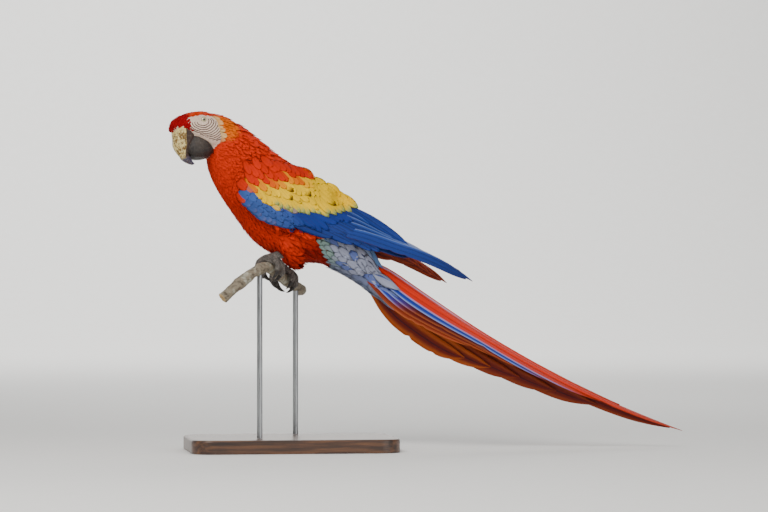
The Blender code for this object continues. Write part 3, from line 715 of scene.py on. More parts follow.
# %% Lay a bed of feathers
def lay_bed(name, surface, roots, forward, length, width, heights, template, colour, material,
            arch=0.08, thickness=0.18 * MM, twist=0.08, ruffle=0.25, vary=0.10, tips=None,
            rim=0.0, press=None):
    """A joined piece of feathers. heights are those of root and tip over the surface.

    tips holds a colour and a share per feather for its end; rim paints shade on the vane's edges.
    Feathers are pressed on along their root's normal, or along press where it is given."""
    across, along, under, faces = template
    count, size = len(roots), len(across)
    bake_places = skin_places(roots)
    root, normal, _, _ = surface.nearest(roots)
    if press is not None:
        root, normal = roots, np.tile(press, (count, 1))
    forward = unit(forward - normal * (forward * normal).sum(1, keepdims=True))
    sideways = np.cross(normal, forward)
    turn = rng.normal(0, twist, (count, 1))
    forward, sideways = forward + sideways * turn, sideways - forward * turn
    length = (length * rng.uniform(1 - vary, 1 + vary, count))[:, None]
    width = (width * rng.uniform(0.94, 1.06, count))[:, None]
    curl = rng.normal(0, 0.05, (count, 1)) * length * along**2
    ahead = (length * along)[:, :, None] * forward[:, None, :]
    aside = (width / 2 * across + curl)[:, :, None] * sideways[:, None, :]
    flat = root[:, None, :] + ahead + aside
    spots = flat.reshape(-1, 3)
    place, up = surface.nearest(spots)[:2] if press is None else surface.cast(spots, press)
    low, high = (np.broadcast_to(h, count)[:, None] for h in heights)
    high = high * rng.uniform(1 - ruffle, 1 + ruffle, (count, 1))
    spread = np.abs(across) / np.abs(across).max()
    lift = low + (high - low) * along**0.8 - arch * width * spread**2 - thickness * under
    lifted = (place + up * lift.reshape(-1, 1)).reshape(count, size, 3)
    moved = ((lifted - flat) * normal[:, None, :]).sum(2, keepdims=True)
    points = (flat + moved * normal[:, None, :]).reshape(-1, 3)
    tint = colour(root + forward * length * 0.62)
    tint = (tint * rng.uniform(0.87, 1.08, (count, 1)))[:, None, :]
    if tips is not None:
        share = (tips[1][:, None] * ease(along, 0.66, 0.94))[:, :, None]
        tint = tint * (1 - share) + tips[0][:, None, :] * share
    # Painted shade: each feather is darker towards its root, where the next ones cover it, and
    # darker at its rim by the share rim.
    shade = (0.74 + 0.28 * along**0.7) * (1 - rim * spread**3)
    tint = tint * shade[None, :, None]
    vane = np.stack([0.5 + across / 2, along], 1)
    patch = 0.003 * np.stack([across / 2, along - 0.5], 1)
    maps = {
        "vane": np.tile(vane, (count, 1)),
        "OFBake": (bake_places[:, None, :] + patch[None]).reshape(-1, 2),
    }
    all_faces = (faces[None] + size * np.arange(count)[:, None, None]).reshape(-1, 4)
    piece = mesh_piece(name, points, all_faces, maps, tint.reshape(-1, 3), material)
    print(name, "feathers:", count, "triangles:", 2 * len(all_faces))
    return piece


def skin_places(points):
    """Where places on the bird fall on the skin's unwrap."""
    _, _, face, weights = skin_surface.nearest(points)
    corners = skin_map[skin_surface.corners[face]]
    return (corners * weights[:, :, None]).sum(1)


# %% Scatter roots
def scatter(surface, spacing_at, keep, tries):
    """Random roots on a surface, no closer than the spacing wanted where they are."""
    a, b, c = np.moveaxis(surface.points[surface.faces], 1, 0)
    area = np.linalg.norm(np.cross(b - a, c - a), axis=1)
    face = rng.choice(len(area), tries, p=area / area.sum())
    first = np.sqrt(rng.random((tries, 1)))
    second = rng.random((tries, 1))
    points = a[face] * (1 - first) + b[face] * first * (1 - second) + c[face] * first * second
    points = points[keep(points)]
    spacing = spacing_at(points)
    cell = spacing.max()
    grid, chosen = {}, []
    for index, (point, gap) in enumerate(zip(points, spacing)):
        key = tuple((point // cell).astype(int))
        near = [other for x, y, z in product((-1, 0, 1), repeat=3)
                for other in grid.get((key[0] + x, key[1] + y, key[2] + z), ())]
        if all(((points[other] - point) ** 2).sum() > gap * gap for other in near):
            grid.setdefault(key, []).append(index)
            chosen.append(index)
    return points[chosen]


# %% [markdown]
# ## Lie of the coat
# Feathers point away from the bill on the head and follow the body's line from neck to tail. The
# two flows are blended over the nape, so no parting shows.

# %% Lie and regions
BODY_LINE = np.array(
    ((-112, 457), (-86, 428), (-60, 396), (-24, 362), (22, 330), (66, 298), (108, 265), (190, 206))
) * MM
LINE_BLEND = 30 * MM  # how far one stretch of the line gives way to the next


def body_lie(points):
    starts, ends = BODY_LINE[:-1], BODY_LINE[1:]
    flat = points[:, None, [0, 2]]
    step = ends - starts
    share = np.clip(((flat - starts) * step).sum(2) / (step * step).sum(1), 0, 1)
    gap = np.linalg.norm(flat - starts - share[:, :, None] * step, axis=2)
    weight = np.exp(-((gap / LINE_BLEND) ** 2)) + 1e-9
    lie = (weight[:, :, None] * unit(step)).sum(1) / weight.sum(1, keepdims=True)
    return unit(np.stack([lie[:, 0], np.zeros(len(lie)), lie[:, 1]], 1))


BILL_BASE = from_head((-38, 0, -18))


def lie(points):
    share = ease(in_head(points)[:, 0], 4, 40)[:, None]
    return unit(unit(points - BILL_BASE) * (1 - share) + body_lie(points) * share)


def remove_measured():
    for obj in [o for o in bpy.data.objects if o.name.startswith("measured_")]:
        bpy.data.objects.remove(obj)


flesh_surfaces = {node: Surface(merged_copy(f"measured_{node}", [node])) for node in FLESH}
remove_measured()


def region_of(points):
    """The flesh solid that each point is nearest to."""
    gaps = np.stack([flesh_surfaces[node].distance(points) for node in FLESH])
    return np.array(FLESH)[gaps.argmin(0)]


# %% Where the body's feathers grow
WING_FRONT = -60 * MM  # ahead of this the bend of the wing has the body's feathers
BODY_END = 85 * MM  # from here on the tail coverts take over
BODY_TRIES = 60000
SKIN_SHADE = 0.7  # between the feathers the skin lies in shade
WING_SHADE = 0.6


def body_spacing(points):
    """Distance between roots: smallest on the forehead, widest on the back and legs."""
    back = in_head(points)[:, 0]
    spacing = np.interp(back, (-30, -10, 12, 34, 60), (1.7, 1.9, 2.2, 3.1, 4.4))
    return np.where(np.isin(region_of(points), THIGHS), 4.4, spacing) * MM


def is_body(points):
    region = region_of(points)
    on_wing = np.isin(region, WINGS)
    clear = ~on_wing & ~inside_face(points, 0.4)
    # The bend of the wing and its inner side have no rows of coverts.
    outward = skin_surface.nearest(points)[1][:, 1] * np.where(region == "wing_left", -1, 1)
    inner = (outward < 0.25) & (points[:, 0] < 34 * MM)
    clear |= on_wing & ((points[:, 0] < WING_FRONT) | inner)
    # Under the rear of the wing nothing is seen, and nothing may stick out.
    x, y, z = (points / MM).T
    clear &= ~((x > 28) & (x < 66) & (z > 301) & (np.abs(y) > 33))
    # The forehead's feathers start under the upper rim of the bill.
    back, _, up = in_head(points).T
    under_rim = -0.6 + 1.6 * ease(up, -18, -11) * ease(back, -22, -26)
    return clear & (points[:, 0] < BODY_END) & (depth_inside(HORN_EDGE, points) < under_rim)


# %% Scatter the body's feathers
roots = scatter(skin_surface, body_spacing, is_body, BODY_TRIES)
region = region_of(roots)
spacing = body_spacing(roots)
rear = roots[:, 0] >= -5 * MM
groups = {
    "plumage_head": region == "head",
    "plumage_neck": region == "neck",
    "plumage_breast": (region == "trunk") & ~rear,
    "plumage_back": (region == "trunk") & rear,
    "plumage_shoulders": np.isin(region, WINGS),
    "plumage_legs": np.isin(region, THIGHS),
}
for name, chosen in groups.items():
    at, gap = roots[chosen], spacing[chosen]
    on_head = ease(in_head(at)[:, 0], 40, 0)
    # On the body the roots are sunk and the tips stand up further than on the head.
    low = 0.1 * MM - 0.6 * MM * (1 - on_head)
    high = (2.1 * MM) * (1 - on_head) + 0.8 * MM * on_head
    lay_bed(name, skin_surface, at, lie(at), gap * (4.0 - 0.9 * on_head), gap * 1.6, (low, high),
            BODY_FEATHER, body_colour, soft_feather, twist=0.16, ruffle=0.5)

# %% Colour the skin between them
skin_colour = body_colour(skin_surface.points) * SKIN_SHADE
on_wing = np.isin(region_of(skin_surface.points), WINGS)
on_wing &= skin_surface.points[:, 0] > WING_FRONT
skin_colour[on_wing] = wing_colour(skin_surface.points[on_wing]) * WING_SHADE
add_tint(skin.data, skin_colour)
skin.data.materials.append(soft_feather)
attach(skin, "root")
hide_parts(*FLESH)
print("skin stands for:", FLESH)

# %% [markdown]
# ## The folded wings
# A folded wing is a stack of feathers in rows: small scarlet coverts over the shoulder, yellow
# ones behind them, a last yellow row with green edges, blue coverts at the wrist, and the long
# blue quills that run back to the tip. All rows lie on one smooth sheet. It is found by looking
# at the wing's solids from outside, along a grid, and smoothing what is met.

# %% Wing sheets
QUILLS = ["tertial_1", "tertial_2", "secondary_1", "secondary_2"]
QUILLS += [f"primary_{k}" for k in range(1, 6)]
SHEET_STEP = 3.0 * MM
SHEET_ROUNDS = 120


def smooth_filled(heights, rounds):
    """Fills the gaps of a height grid from their neighbours, then smooths it all."""
    known = ~np.isnan(heights)
    filled = np.where(known, heights, np.nanmean(heights))
    for turn in range(rounds):
        padded = np.pad(filled, 1, mode="edge")
        mean = (padded[:-2, 1:-1] + padded[2:, 1:-1] + padded[1:-1, :-2] + padded[1:-1, 2:]) / 4
        hold = known & (turn < rounds - 6)
        filled = np.where(hold, heights, mean)
    return filled


def wing_sheet(side):
    """The wing's outer face as a smooth sheet that runs on a little past its edges."""
    sign = SIDES[side]
    nodes = [f"{node}_{side}" for node in ["wing"] + QUILLS]
    solid = Surface(merged_copy("measured_wing", nodes))
    low, high = solid.points.min(0) - 0.02, solid.points.max(0) + 0.02
    xs = np.arange(low[0], high[0], SHEET_STEP)
    zs = np.arange(low[2], high[2], SHEET_STEP)
    hits = [[solid.side_hit(sign, x, z) for z in zs] for x in xs]
    heights = np.array([[hit.y if hit else np.nan for hit in row] for row in hits])
    grid_x, grid_z = np.meshgrid(xs, zs, indexing="ij")
    points = np.stack([grid_x, smooth_filled(heights, SHEET_ROUNDS), grid_z], 2)
    faces = cells(np.arange(heights.size).reshape(heights.shape))
    faces = faces[:, ::-1] if sign > 0 else faces
    return mesh_surface(f"measured_sheet_{side}", points, faces), solid


sheets = {side: wing_sheet(side) for side in SIDES}
remove_measured()


# %% Places on the wing
def on_sheet(side, places):
    """Points on a wing's sheet over places x, z in millimetres."""
    points = []
    for x, z in np.asarray(places, float) * MM:
        hit = sheets[side][0].side_hit(SIDES[side], x, z)
        points.append(hit if hit else (x, np.nan, z))
    return np.array(points, float)


def right_shift(side, places):
    """The right wing hangs a little lower and ends sooner than the left one."""
    places = np.array(places, float)
    if side == "right":
        share = np.clip((places[:, 0] + 85) / 340, 0, 1)
        places[:, 0] -= 26 * share**2
        places[:, 1] += 13 * share**2 - 16 * share**1.5
    return places


# %% [markdown]
# ## Rows of coverts
# Each row's tips follow a curve across the wing. The curves are the lower edge of the yellow
# band, moved up row by row, and feathers of one row fill the gaps of the next. Rows further up
# are shorter and lie on top.

# %% Covert rows
ROW_RISE = 12.0  # millimetres from one row's tips to the next
LAST_ROW = 7


def headings(degrees):
    """Directions in the plane of the wing's side, from their slopes."""
    slope = radians(1) * degrees
    return np.stack([np.cos(slope), np.sin(slope)], 1)


def joined(rows):
    """A list of rows, each with the same columns, as one array for each column."""
    return [np.concatenate(column) for column in zip(*rows)]


def covert_row(row):
    """Tips, directions and lengths of a row of coverts, in x and z millimetres.

    Row 0 is the last yellow one, row -1 the blue one under it."""
    pace = np.interp(row, (0, 3, LAST_ROW), (8.0, 7.6, 6.4))
    x = np.arange(-84 + (row % 2) * pace / 2, 99, pace)
    if row < 0:
        x = x[x > -22]
    z = band_low(x) + (ROW_RISE * row if row >= 0 else -19)
    x = x + 0.25 * ROW_RISE * row
    slope = np.interp(x, (-80, -40, 20, 95), (-66, -60, -50, -38))
    slope = slope + 12 * min(row / LAST_ROW, 1) + (14 if row < 0 else 0)
    length = np.interp(row, (-1, 0, 1, 3, LAST_ROW), (44, 38, 33, 28, 21))
    length = length * np.interp(x, (-80, -30, 0), (0.6, 0.85, 1))
    return np.stack([x, z], 1), headings(slope), length


# %% Lay feathers on the wing
def clear_of_edge(side, places, margin):
    """True where a place in x and z millimetres lies over the wing's solids."""
    solid, sign = sheets[side][1], SIDES[side]
    around = [(-margin, 0), (margin, 0), (0, -margin), (0, margin)]
    return np.array([
        all(solid.side_hit(sign, x + dx, z + dz) is not None for dx, dz in around)
        for x, z in np.asarray(places) * MM
    ])


def lay_on_wing(name, side, tips, ways, length, width, heights, template, material, ends=None,
                vary=0.10):
    """Lays feathers whose tips and directions are given in the plane of the wing's side."""
    base = right_shift(side, tips) - ways * length[:, None] * 0.92
    at = on_sheet(side, base)
    fine = ~np.isnan(at[:, 1])
    at, ways, length, width = at[fine], ways[fine], length[fine], width[fine]
    heights = [np.broadcast_to(h, len(fine))[fine] for h in heights]
    forward = np.stack([ways[:, 0], np.zeros(len(ways)), ways[:, 1]], 1)
    ends = None if ends is None else (ends[0][fine], ends[1][fine])
    lay_bed(name, sheets[side][0], at, forward, length * MM, width * MM, heights, template,
            wing_colour, material, arch=0.045, thickness=0.2 * MM, twist=0.5 * vary, vary=vary,
            ruffle=0.06, tips=ends, press=(0.0, float(SIDES[side]), 0.0))


# %% Coverts
def coverts(side):
    parts = []
    for row in range(-1, LAST_ROW + 1):
        at, way, long = covert_row(row)
        # Along the upper rear edge the rows overhang the quills a little.
        inwards = np.outer(ease(at[:, 0], 30, 60), (-5, -7))
        middle = at - way * long[:, None] * 0.5 + inwards
        keep = clear_of_edge(side, right_shift(side, middle), 3 * MM)
        keep &= at[:, 0] > (-64 if row < 2 else -90)
        keep &= (row < 0) | (at[:, 1] < 379 - 0.75 * (at[:, 0] - 55))
        at, rows = at[keep], np.full(keep.sum(), row)
        # They lie higher where the quills' roots are under them.
        rise = 0.14 * min(row + 1, 6) + 1.6 * ease(at[:, 0], 36, 60) * (row >= 0)
        parts.append((at, way[keep], long[keep], rise, rows))
    tips, ways, length, rise, rows = joined(parts)
    width = np.interp(rows, (0, 3, LAST_ROW), (13.5, 13, 11))
    heights = ((0.5 + 0.8 * rise) * MM, (0.95 + rise) * MM)
    # The last yellow row ends in pale green; here and there a yellow feather has a dark speck.
    pale = (rows == 0) & (tips[:, 0] > -30)
    speck = (rows >= 0) & (rows < 3) & (tips[:, 0] > -10) & (rng.random(len(rows)) > 0.88)
    codes = np.where(speck[:, None], linear("#3A1A10"), linear("#6E9468"))
    shares = np.where(speck, 0.95, np.where(pale, 0.85, 0.0))
    lay_on_wing(f"coverts_{side}", side, tips, ways, length, width, heights, COVERT_FEATHER,
                soft_feather, (codes, shares))


for side in SIDES:
    coverts(side)


# %% [markdown]
# ## Blue coverts and secondaries
# At the wrist a lobe of blue coverts hangs over the wing's lower edge. From under the last
# yellow row the secondaries run back, each one overlapping the next like a closed fan.

# %% Blue coverts at the wrist
# Lower edge of the folded wing: x and z in millimetres.
LOWER_EDGE = np.array(
    ((-80, 366), (-69, 353), (-49, 336), (-22, 324), (7, 318), (36, 309), (66, 299), (110, 286))
)


def blue_coverts(side):
    parts = []
    for row in range(5):
        x = np.arange(-74 + 4 * (row % 2), 0, 7.6)
        z = np.interp(x, *LOWER_EDGE.T) + 0.5 + row * 8.0
        way = headings(np.interp(x, (-80, -40, 0), (-52, -36, -24)))
        length = np.interp(x, (-66, -4), (17, 34))
        columns = (np.stack([x, z], 1), way, length, np.full(len(x), row))
        parts.append([column[z < band_low(x) + 2] for column in columns])
    tips, ways, length, rows = joined(parts)
    heights = ((0.2 + 0.08 * rows) * MM, (0.8 + 0.06 * rows) * MM)
    pale = np.where((rows == 0) & (tips[:, 0] < -24), 0.12, 0.0)
    lay_on_wing(f"wrist_coverts_{side}", side, tips, ways, length, np.full(len(tips), 12.0),
                heights, COVERT_FEATHER, soft_feather, (plain("#C09088", tips), pale))


# %% Secondaries
SECONDARIES = 15
# Where the tips of the secondaries end, from the lowest to the one on the wing's upper edge.
SECONDARY_TIPS = ((0, 0.25, 0.5, 0.75, 1), (50, 92, 124, 148, 168), (306, 299, 291, 291, 297))


def secondaries(side):
    share = np.linspace(0, 1, SECONDARIES)
    x = -26 + 108 * share
    base = np.stack([x, band_low(x) + 4 - 19 * (1 - share) ** 1.5], 1)
    places, *tips = SECONDARY_TIPS
    reach = np.stack([np.interp(share, places, tip) for tip in tips], 1) - base
    length = np.linalg.norm(reach, axis=1)
    heights = (MM * (0.1 + 0.5 * share), MM * (0.4 + 0.8 * share))
    lay_on_wing(f"secondaries_{side}", side, base + 0.93 * reach, reach / length[:, None],
                length, np.full(SECONDARIES, 15.0), heights, LONG_FEATHER, quill_vane, vary=0.02)


for side in SIDES:
    blue_coverts(side)
    secondaries(side)

# %% [markdown]
# ## Quills of wings and tail
# Each long solid shows where one or two real quills lie. It is cut into sections from root to
# tip, and a finer vane is drawn through them: a rounded tip, a raised shaft, a slight arch and
# a few splits where barbs have come apart. Wing quills are blue above and dull red below.

# %% Sections of a long solid
VANE_PLACES = np.array((-1, -0.66, -0.33, -0.07, 0, 0.07, 0.33, 0.66, 1))


def section(local, solid, station):
    """Middle height of a solid's section at each of the vane's places across it."""
    corners = local[solid.faces]
    ends = []
    for k in range(3):
        a, b = corners[:, k], corners[:, (k + 1) % 3]
        crossing = (a[:, 0] - station) * (b[:, 0] - station) < 0
        share = (station - a[:, 0]) / np.where(crossing, b[:, 0] - a[:, 0], 1)
        ends.append(np.where(crossing[:, None], a + (b - a) * share[:, None], np.nan))
    ends = np.stack(ends, 1)
    ends = ends[~np.isnan(ends[:, :, 0]).all(1)]
    across, height = ends[:, :, 1], ends[:, :, 2]
    first, last = np.nanmin(across, 1), np.nanmax(across, 1)
    middle, half = (first.min() + last.max()) / 2, (last.max() - first.min()) / 2
    start = np.take_along_axis(height, np.nanargmin(across, 1)[:, None], 1)[:, 0]
    stop = np.take_along_axis(height, np.nanargmax(across, 1)[:, None], 1)[:, 0]
    row = []
    for u in VANE_PLACES:
        want = middle + half * u * 0.97
        share = (want - first) / np.maximum(last - first, 1e-9)
        level = (start + (stop - start) * share)[(first <= want) & (last >= want)]
        row.append((station, middle + half * u, (level.min() + level.max()) / 2))
    return row


def long_sections(node, outward, count):
    """Middle surface of a thin long solid: rows from root to tip, places across each."""
    solid = Surface(merged_copy("measured_quill", [node]))
    centre = solid.points.mean(0)
    axes = np.linalg.svd(solid.points - centre)[2]
    along, normal = axes[0] * np.sign(axes[0][0]), axes[2]
    normal = normal * np.sign(normal.dot(outward))
    quill_axes = np.stack([along, np.cross(normal, along), normal])
    local = (solid.points - centre) @ quill_axes.T
    first, last = local[:, 0].min() + 0.4 * MM, local[:, 0].max() - 0.4 * MM
    rows = np.array([section(local, solid, at) for at in np.linspace(first, last, count)])
    for _ in range(3):
        rows[1:-1] = (rows[:-2] + 2 * rows[1:-1] + rows[2:]) / 4
    return rows @ quill_axes + centre, normal


# %% One quill
QUILL_ROWS = 34
VANE_HALF = 0.22 * MM


def quill(grid, normal, span, reach, rise, slits):
    """A vane over part of a grid of sections. span is its share across, reach along it."""
    along = np.linspace(0, 1, QUILL_ROWS)
    source = (reach[0] + along * (reach[1] - reach[0])) * (len(grid) - 1)
    first = np.minimum(source.astype(int), len(grid) - 2)
    share = (source - first)[:, None, None]
    lines = grid[first] * (1 - share) + grid[first + 1] * share
    middle, half = sum(span) / 2, (span[1] - span[0]) / 2
    rounding = np.sqrt(np.clip(1 - np.clip((along - 0.86) / 0.145, 0, 1) ** 2, 0.02, 1))
    split = np.ones((QUILL_ROWS, 2))
    for slit in slits:
        split[int(slit[0] * QUILL_ROWS), slit[1]] = slit[2]
    points = []
    for row, line in enumerate(lines):
        inset = np.where(VANE_PLACES < 0, split[row, 0], split[row, 1])
        want = middle + half * rounding[row] * VANE_PLACES * inset
        points.append(np.stack([np.interp(want, VANE_PLACES, line[:, k]) for k in range(3)], 1))
    points = np.array(points)
    width = np.linalg.norm(points[:, -1] - points[:, 0], axis=1)[:, None]
    arch = 0.05 * width * (1 - VANE_PLACES**2)[None]
    shaft = 0.35 * MM * np.exp(-((VANE_PLACES / 0.05) ** 2))[None] * (1.05 - along)[:, None]
    # The first part dips under the feathers that cover it.
    rise = rise - 1.2 * MM * ease(along, 0.14, 0)[:, None] * (reach[0] > 0)
    top = points + normal * (arch + rise + shaft + VANE_HALF)[:, :, None]
    under = points + normal * (arch + rise - shaft - VANE_HALF)[:, :, None]
    index = np.arange(points.size // 3).reshape(QUILL_ROWS, -1)
    rim = np.concatenate([index[0, :], index[1:, -1], index[-1, -2::-1], index[-2:0:-1, 0]])
    after = np.roll(rim, -1)
    edge = np.stack([after, rim, rim + index.size, after + index.size], 1)
    faces = np.concatenate([cells(index)[:, FLIP], cells(index + index.size), edge])
    u, v = np.meshgrid(0.5 + VANE_PLACES / 2, along)
    vane = np.stack([u.ravel(), v.ravel()], 1)
    return np.concatenate([top.reshape(-1, 3), under.reshape(-1, 3)]), faces, vane


# %% Quill colours
def wing_quill_tint(vane, tone):
    u, t = vane.T
    tint = plain("#203A86", vane) * tone
    paint(tint, "#16235E", 0.75 * ease(t, 0.35, 1.0))
    paint(tint, "#3F6BC4", 0.5 * ease(u, 0.55, 0.9) * ease(t, 0.9, 0.4))
    # Painted highlight: a pale strip along the upper edge of each vane, fading towards the tip.
    paint(tint, "#8FA4D0", 0.6 * ease(u, 0.86, 0.98) * ease(t, 1.0, 0.6))
    under = plain("#6A2416", vane)
    paint(under, "#A8471C", 0.6 * ease(np.abs(u - 0.5), 0.10, 0.35))
    return np.concatenate([tint, under * tone])


# %% Join quills into a piece
def join_quills(name, parts, replaced):
    """One piece of many quills. Each part holds points, faces, places on its vane and tint."""
    rows, start = [], 0
    squares = int(np.ceil(sqrt(len(parts))))
    for number, (points, faces, vane, tint) in enumerate(parts):
        # Each quill has its own square of the unwrap: upper side left, lower side right.
        both = np.concatenate([vane, vane])
        corner = np.array((number % squares, number // squares)) / squares
        place = corner + (0.02 + 0.46 * both * (1, 2)) / squares * 0.98
        place[len(vane) :, 0] += 0.5 / squares
        rows.append((points, faces + start, both, place, tint))
        start += len(points)
    points, faces, vane, place, tint = joined(rows)
    piece = mesh_piece(name, points, faces, {"vane": vane, "OFBake": place}, tint, quill_vane)
    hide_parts(*replaced)
    print(name, "quills:", len(parts), "triangles:", 2 * len(piece.data.polygons))


def random_slits(count):
    """Splits in a vane: where along it, on which side, and what they leave of its width."""
    return [(rng.uniform(0.35, 0.9), rng.integers(0, 2), rng.uniform(0.72, 0.9))
            for _ in range(count)]


# %% Wing quills
QUILL_START = 76 * MM  # the coverts hide the quills up to here


def wing_quills(side):
    outward = np.array((0, SIDES[side], 0.3))
    nodes = [f"{quill_name}_{side}" for quill_name in QUILLS]
    parts = []
    for node in nodes:
        grid, normal = long_sections(node, outward, 26)
        above = grid[5, -1, 2] > grid[5, 0, 2]
        grid = grid if above else grid[:, ::-1]
        first, last = grid[0, :, 0].mean(), grid[-1, :, 0].mean()
        start = (QUILL_START - first) / (last - first)
        for span, end, rise in (((-1.0, 0.25), 0.94, -0.1 * MM), ((-0.3, 1.0), 0.985, 0.45 * MM)):
            points, faces, vane = quill(grid, normal, span, (start, end), rise, random_slits(2))
            faces = faces if above else faces[:, ::-1]
            parts.append((points, faces, vane, wing_quill_tint(vane, rng.uniform(0.75, 1.2))))
    join_quills(f"wing_quills_{side}", parts, nodes)


for side in SIDES:
    wing_quills(side)
remove_measured()


# %% Tail quill colours
# Upper sides of the tail's quills, from the central pair outwards. The dull dark red of the
# outer three is partly painted shade.
TAIL_TOPS = ("#D22A08", "#C8280C", "#50182A", "#561410", "#5E160E", "#7A2A10")


def tail_quill_tint(vane, number, tone):
    """From the ridge outwards: scarlet, a blue-edged few, then dull red with orange edges;
    the dull red is partly painted shade, the orange partly painted light shining through.
    """
    u, t = vane.T
    tint = plain(TAIL_TOPS[number - 1], vane) * tone
    paint(tint, "#A8381A", 0.7 * ease(t, 0.62, 1.0))
    edge = ease(u, 0.84 if number < 3 else 0.45, 0.9 if number < 3 else 0.6)
    near_root = ease(t, 0.34, 0.16)
    blue = edge * (number in (2, 3)) + edge * near_root * (number in (4, 5))
    blue = blue * ease(t, 0.95, 0.75)
    paint(tint, "#22379A", blue)
    paint(tint, "#8FA6DC", np.clip(blue, 0, 1) * ease(u, 0.88, 0.97) * 0.8)
    # Orange edges on the outer three: partly their own orange, partly painted light shining
    # through.
    paint(tint, "#C86A34", 0.45 * ease(u, 0.92, 0.99) * (number > 3) * (1 - near_root))
    ridge = ease(u, 0.3, 0.14) * (number == 1) * ease(t, 0.42, 0.28)
    paint(tint, "#B4AECC", 0.95 * ridge)
    # Under sides: dark red that is partly painted shade, with orange towards the edges that is
    # partly painted light shining through.
    under = plain("#6E1A10", vane) * tone
    orange = 0.85 if number > 4 else 0.3
    paint(under, "#C05A18", orange * ease(np.abs(u - 0.5), 0.12, 0.40))
    return np.concatenate([tint, under])


# %% Tail quills
def tail_quill(grid, normal, end, rise, splits):
    """One long feather of the tail, with its faces turned outwards."""
    points, faces, vane = quill(grid, normal, (-1, 1), (0, end), rise, random_slits(splits))
    if np.cross(grid[5, -1] - grid[5, 0], grid[9, 4] - grid[5, 4]).dot(normal) < 0:
        faces = faces[:, ::-1]
    return points, faces, vane


def tail_quills():
    parts, replaced, central = [], [], []
    for side, sign in SIDES.items():
        for number in range(1, 7):
            replaced.append(f"tail_feather_{number}_{side}")
            grid, normal = long_sections(replaced[-1], np.array((0.5, 0.6 * sign, 0.7)), 36)
            if grid[10, 0, 1] * sign > grid[10, -1, 1] * sign:
                grid = grid[:, ::-1]
            shape = tail_quill(grid, normal, 0.99, 0.0, 3)
            parts.append((*shape, tail_quill_tint(shape[2], number, rng.uniform(0.9, 1.08))))
            if number == 1:
                central.append(grid)
    # One more feather lies over the ridge and closes the seam between the central pair.
    near, far = central
    columns = [near[:, 2], near[:, 1], (near[:, 1] + near[:, 0]) / 2, near[:, 0]]
    columns += [(near[:, 0] + far[:, 0]) / 2, far[:, 0], (far[:, 0] + far[:, 1]) / 2]
    grid = np.stack(columns + [far[:, 1], far[:, 2]], 1)
    over = unit(np.array((0.45, 0.0, 0.9)))
    shape = tail_quill(grid, over, 0.8, 0.5 * MM, 2)
    parts.append((*shape, tail_quill_tint(shape[2], 1, 1.0)))
    join_quills("tail_quills", parts, replaced)


tail_quills()
remove_measured()


# %% [markdown]
# ## Tail coverts
# Long pointed feathers clothe the root of the tail above, beside and below it. They lie on a
# tube drawn round the solids there: rays are sent in from all sides along the tail's axis, and
# the tube passes through what they meet, smoothed so that it bridges the gaps.

# %% Envelope of the tail's root
ROOT_START = np.array((34, 0, 322)) * MM
ROOT_END = np.array((182, 0, 213)) * MM
ROOT_STATIONS = 46
ROOT_ANGLES = 56


ROOT_REACH = 0.12  # rays start this far out from the axis, in metres
ROOT_AXIS = unit(ROOT_END - ROOT_START)
ROOT_UP = unit(np.array((-ROOT_AXIS[2], 0, ROOT_AXIS[0])))


def root_envelope():
    nodes = ["trunk", "tail_coverts_upper", "tail_coverts_lower"]
    nodes += [f"tail_feather_{k}_{side}" for k in range(1, 7) for side in SIDES]
    solid = Surface(merged_copy("measured_root", nodes))
    angles = 2 * pi * np.arange(ROOT_ANGLES) / ROOT_ANGLES
    ways = np.outer(np.cos(angles), ROOT_UP) + np.outer(np.sin(angles), (0, 1, 0))
    centres = ROOT_START + (ROOT_END - ROOT_START) * np.linspace(0, 1, ROOT_STATIONS)[:, None]
    reach = np.full((ROOT_STATIONS, ROOT_ANGLES), np.nan)
    for i, centre in enumerate(centres):
        for k, way in enumerate(ways):
            start = Vector(centre + way * ROOT_REACH)
            hit = solid.tree.ray_cast(start, Vector(-way), ROOT_REACH)[0]
            if hit:
                reach[i, k] = np.linalg.norm(np.array(hit) - centre)
    wrapped = np.concatenate([reach[:, -8:], reach, reach[:, :8]], 1)
    reach = smooth_filled(wrapped, 24)[:, 8:-8]
    points = centres[:, None, :] + ways[None] * reach[:, :, None]
    index = np.arange(reach.size).reshape(reach.shape)
    ring = np.concatenate([index, index[:, :1]], 1)
    return mesh_surface("measured_envelope", points, cells(ring)[:, FLIP])


root_surface = root_envelope()
remove_measured()
print("faces round the tail's root:", len(root_surface.faces))


# %% Lay the tail coverts
def around_root(points):
    """Share along the tail's root, and height round it from -1 below to 1 above."""
    local = points - ROOT_START
    along = local @ ROOT_AXIS
    across = unit(local - along[:, None] * ROOT_AXIS)
    return along / np.linalg.norm(ROOT_END - ROOT_START), across @ ROOT_UP


def flank_place(points):
    """Millimetres back along the flank; the line it is counted from slants with the thigh."""
    return points[:, 0] / MM + 0.5 * (points[:, 2] / MM - 307)


def covert_tint(points):
    height, flank = around_root(points)[1], flank_place(points)
    colours = plain("#A4A9C0", points)
    paint(colours, "#5068B4", 0.8 * (rng.random(len(points)) > 0.66))
    paint(colours, "#8FB0A0", 0.8 * ease(flank, 58, 44))
    paint(colours, "#6E96CC", ease(height, 0.35, 0.85))
    # Painted shade: greyer and darker on the under side of the tail's root.
    paint(colours, "#7F88A4", ease(height, -0.5, -0.9))
    return colours


def on_root(points):
    along, height = around_root(points)
    end = np.interp(height, (-1, -0.6, 0.0, 0.6, 1.0), (0.66, 0.70, 0.60, 0.40, 0.34))
    return (along > 0.0) & (along < end) & (flank_place(points) > 30)


def covert_spacing(points):
    return np.interp(flank_place(points), (30, 55, 80), (5.5, 9.5, 13.0)) * MM


COVERT_TRIES = 16000
roots = scatter(root_surface, covert_spacing, on_root, COVERT_TRIES)
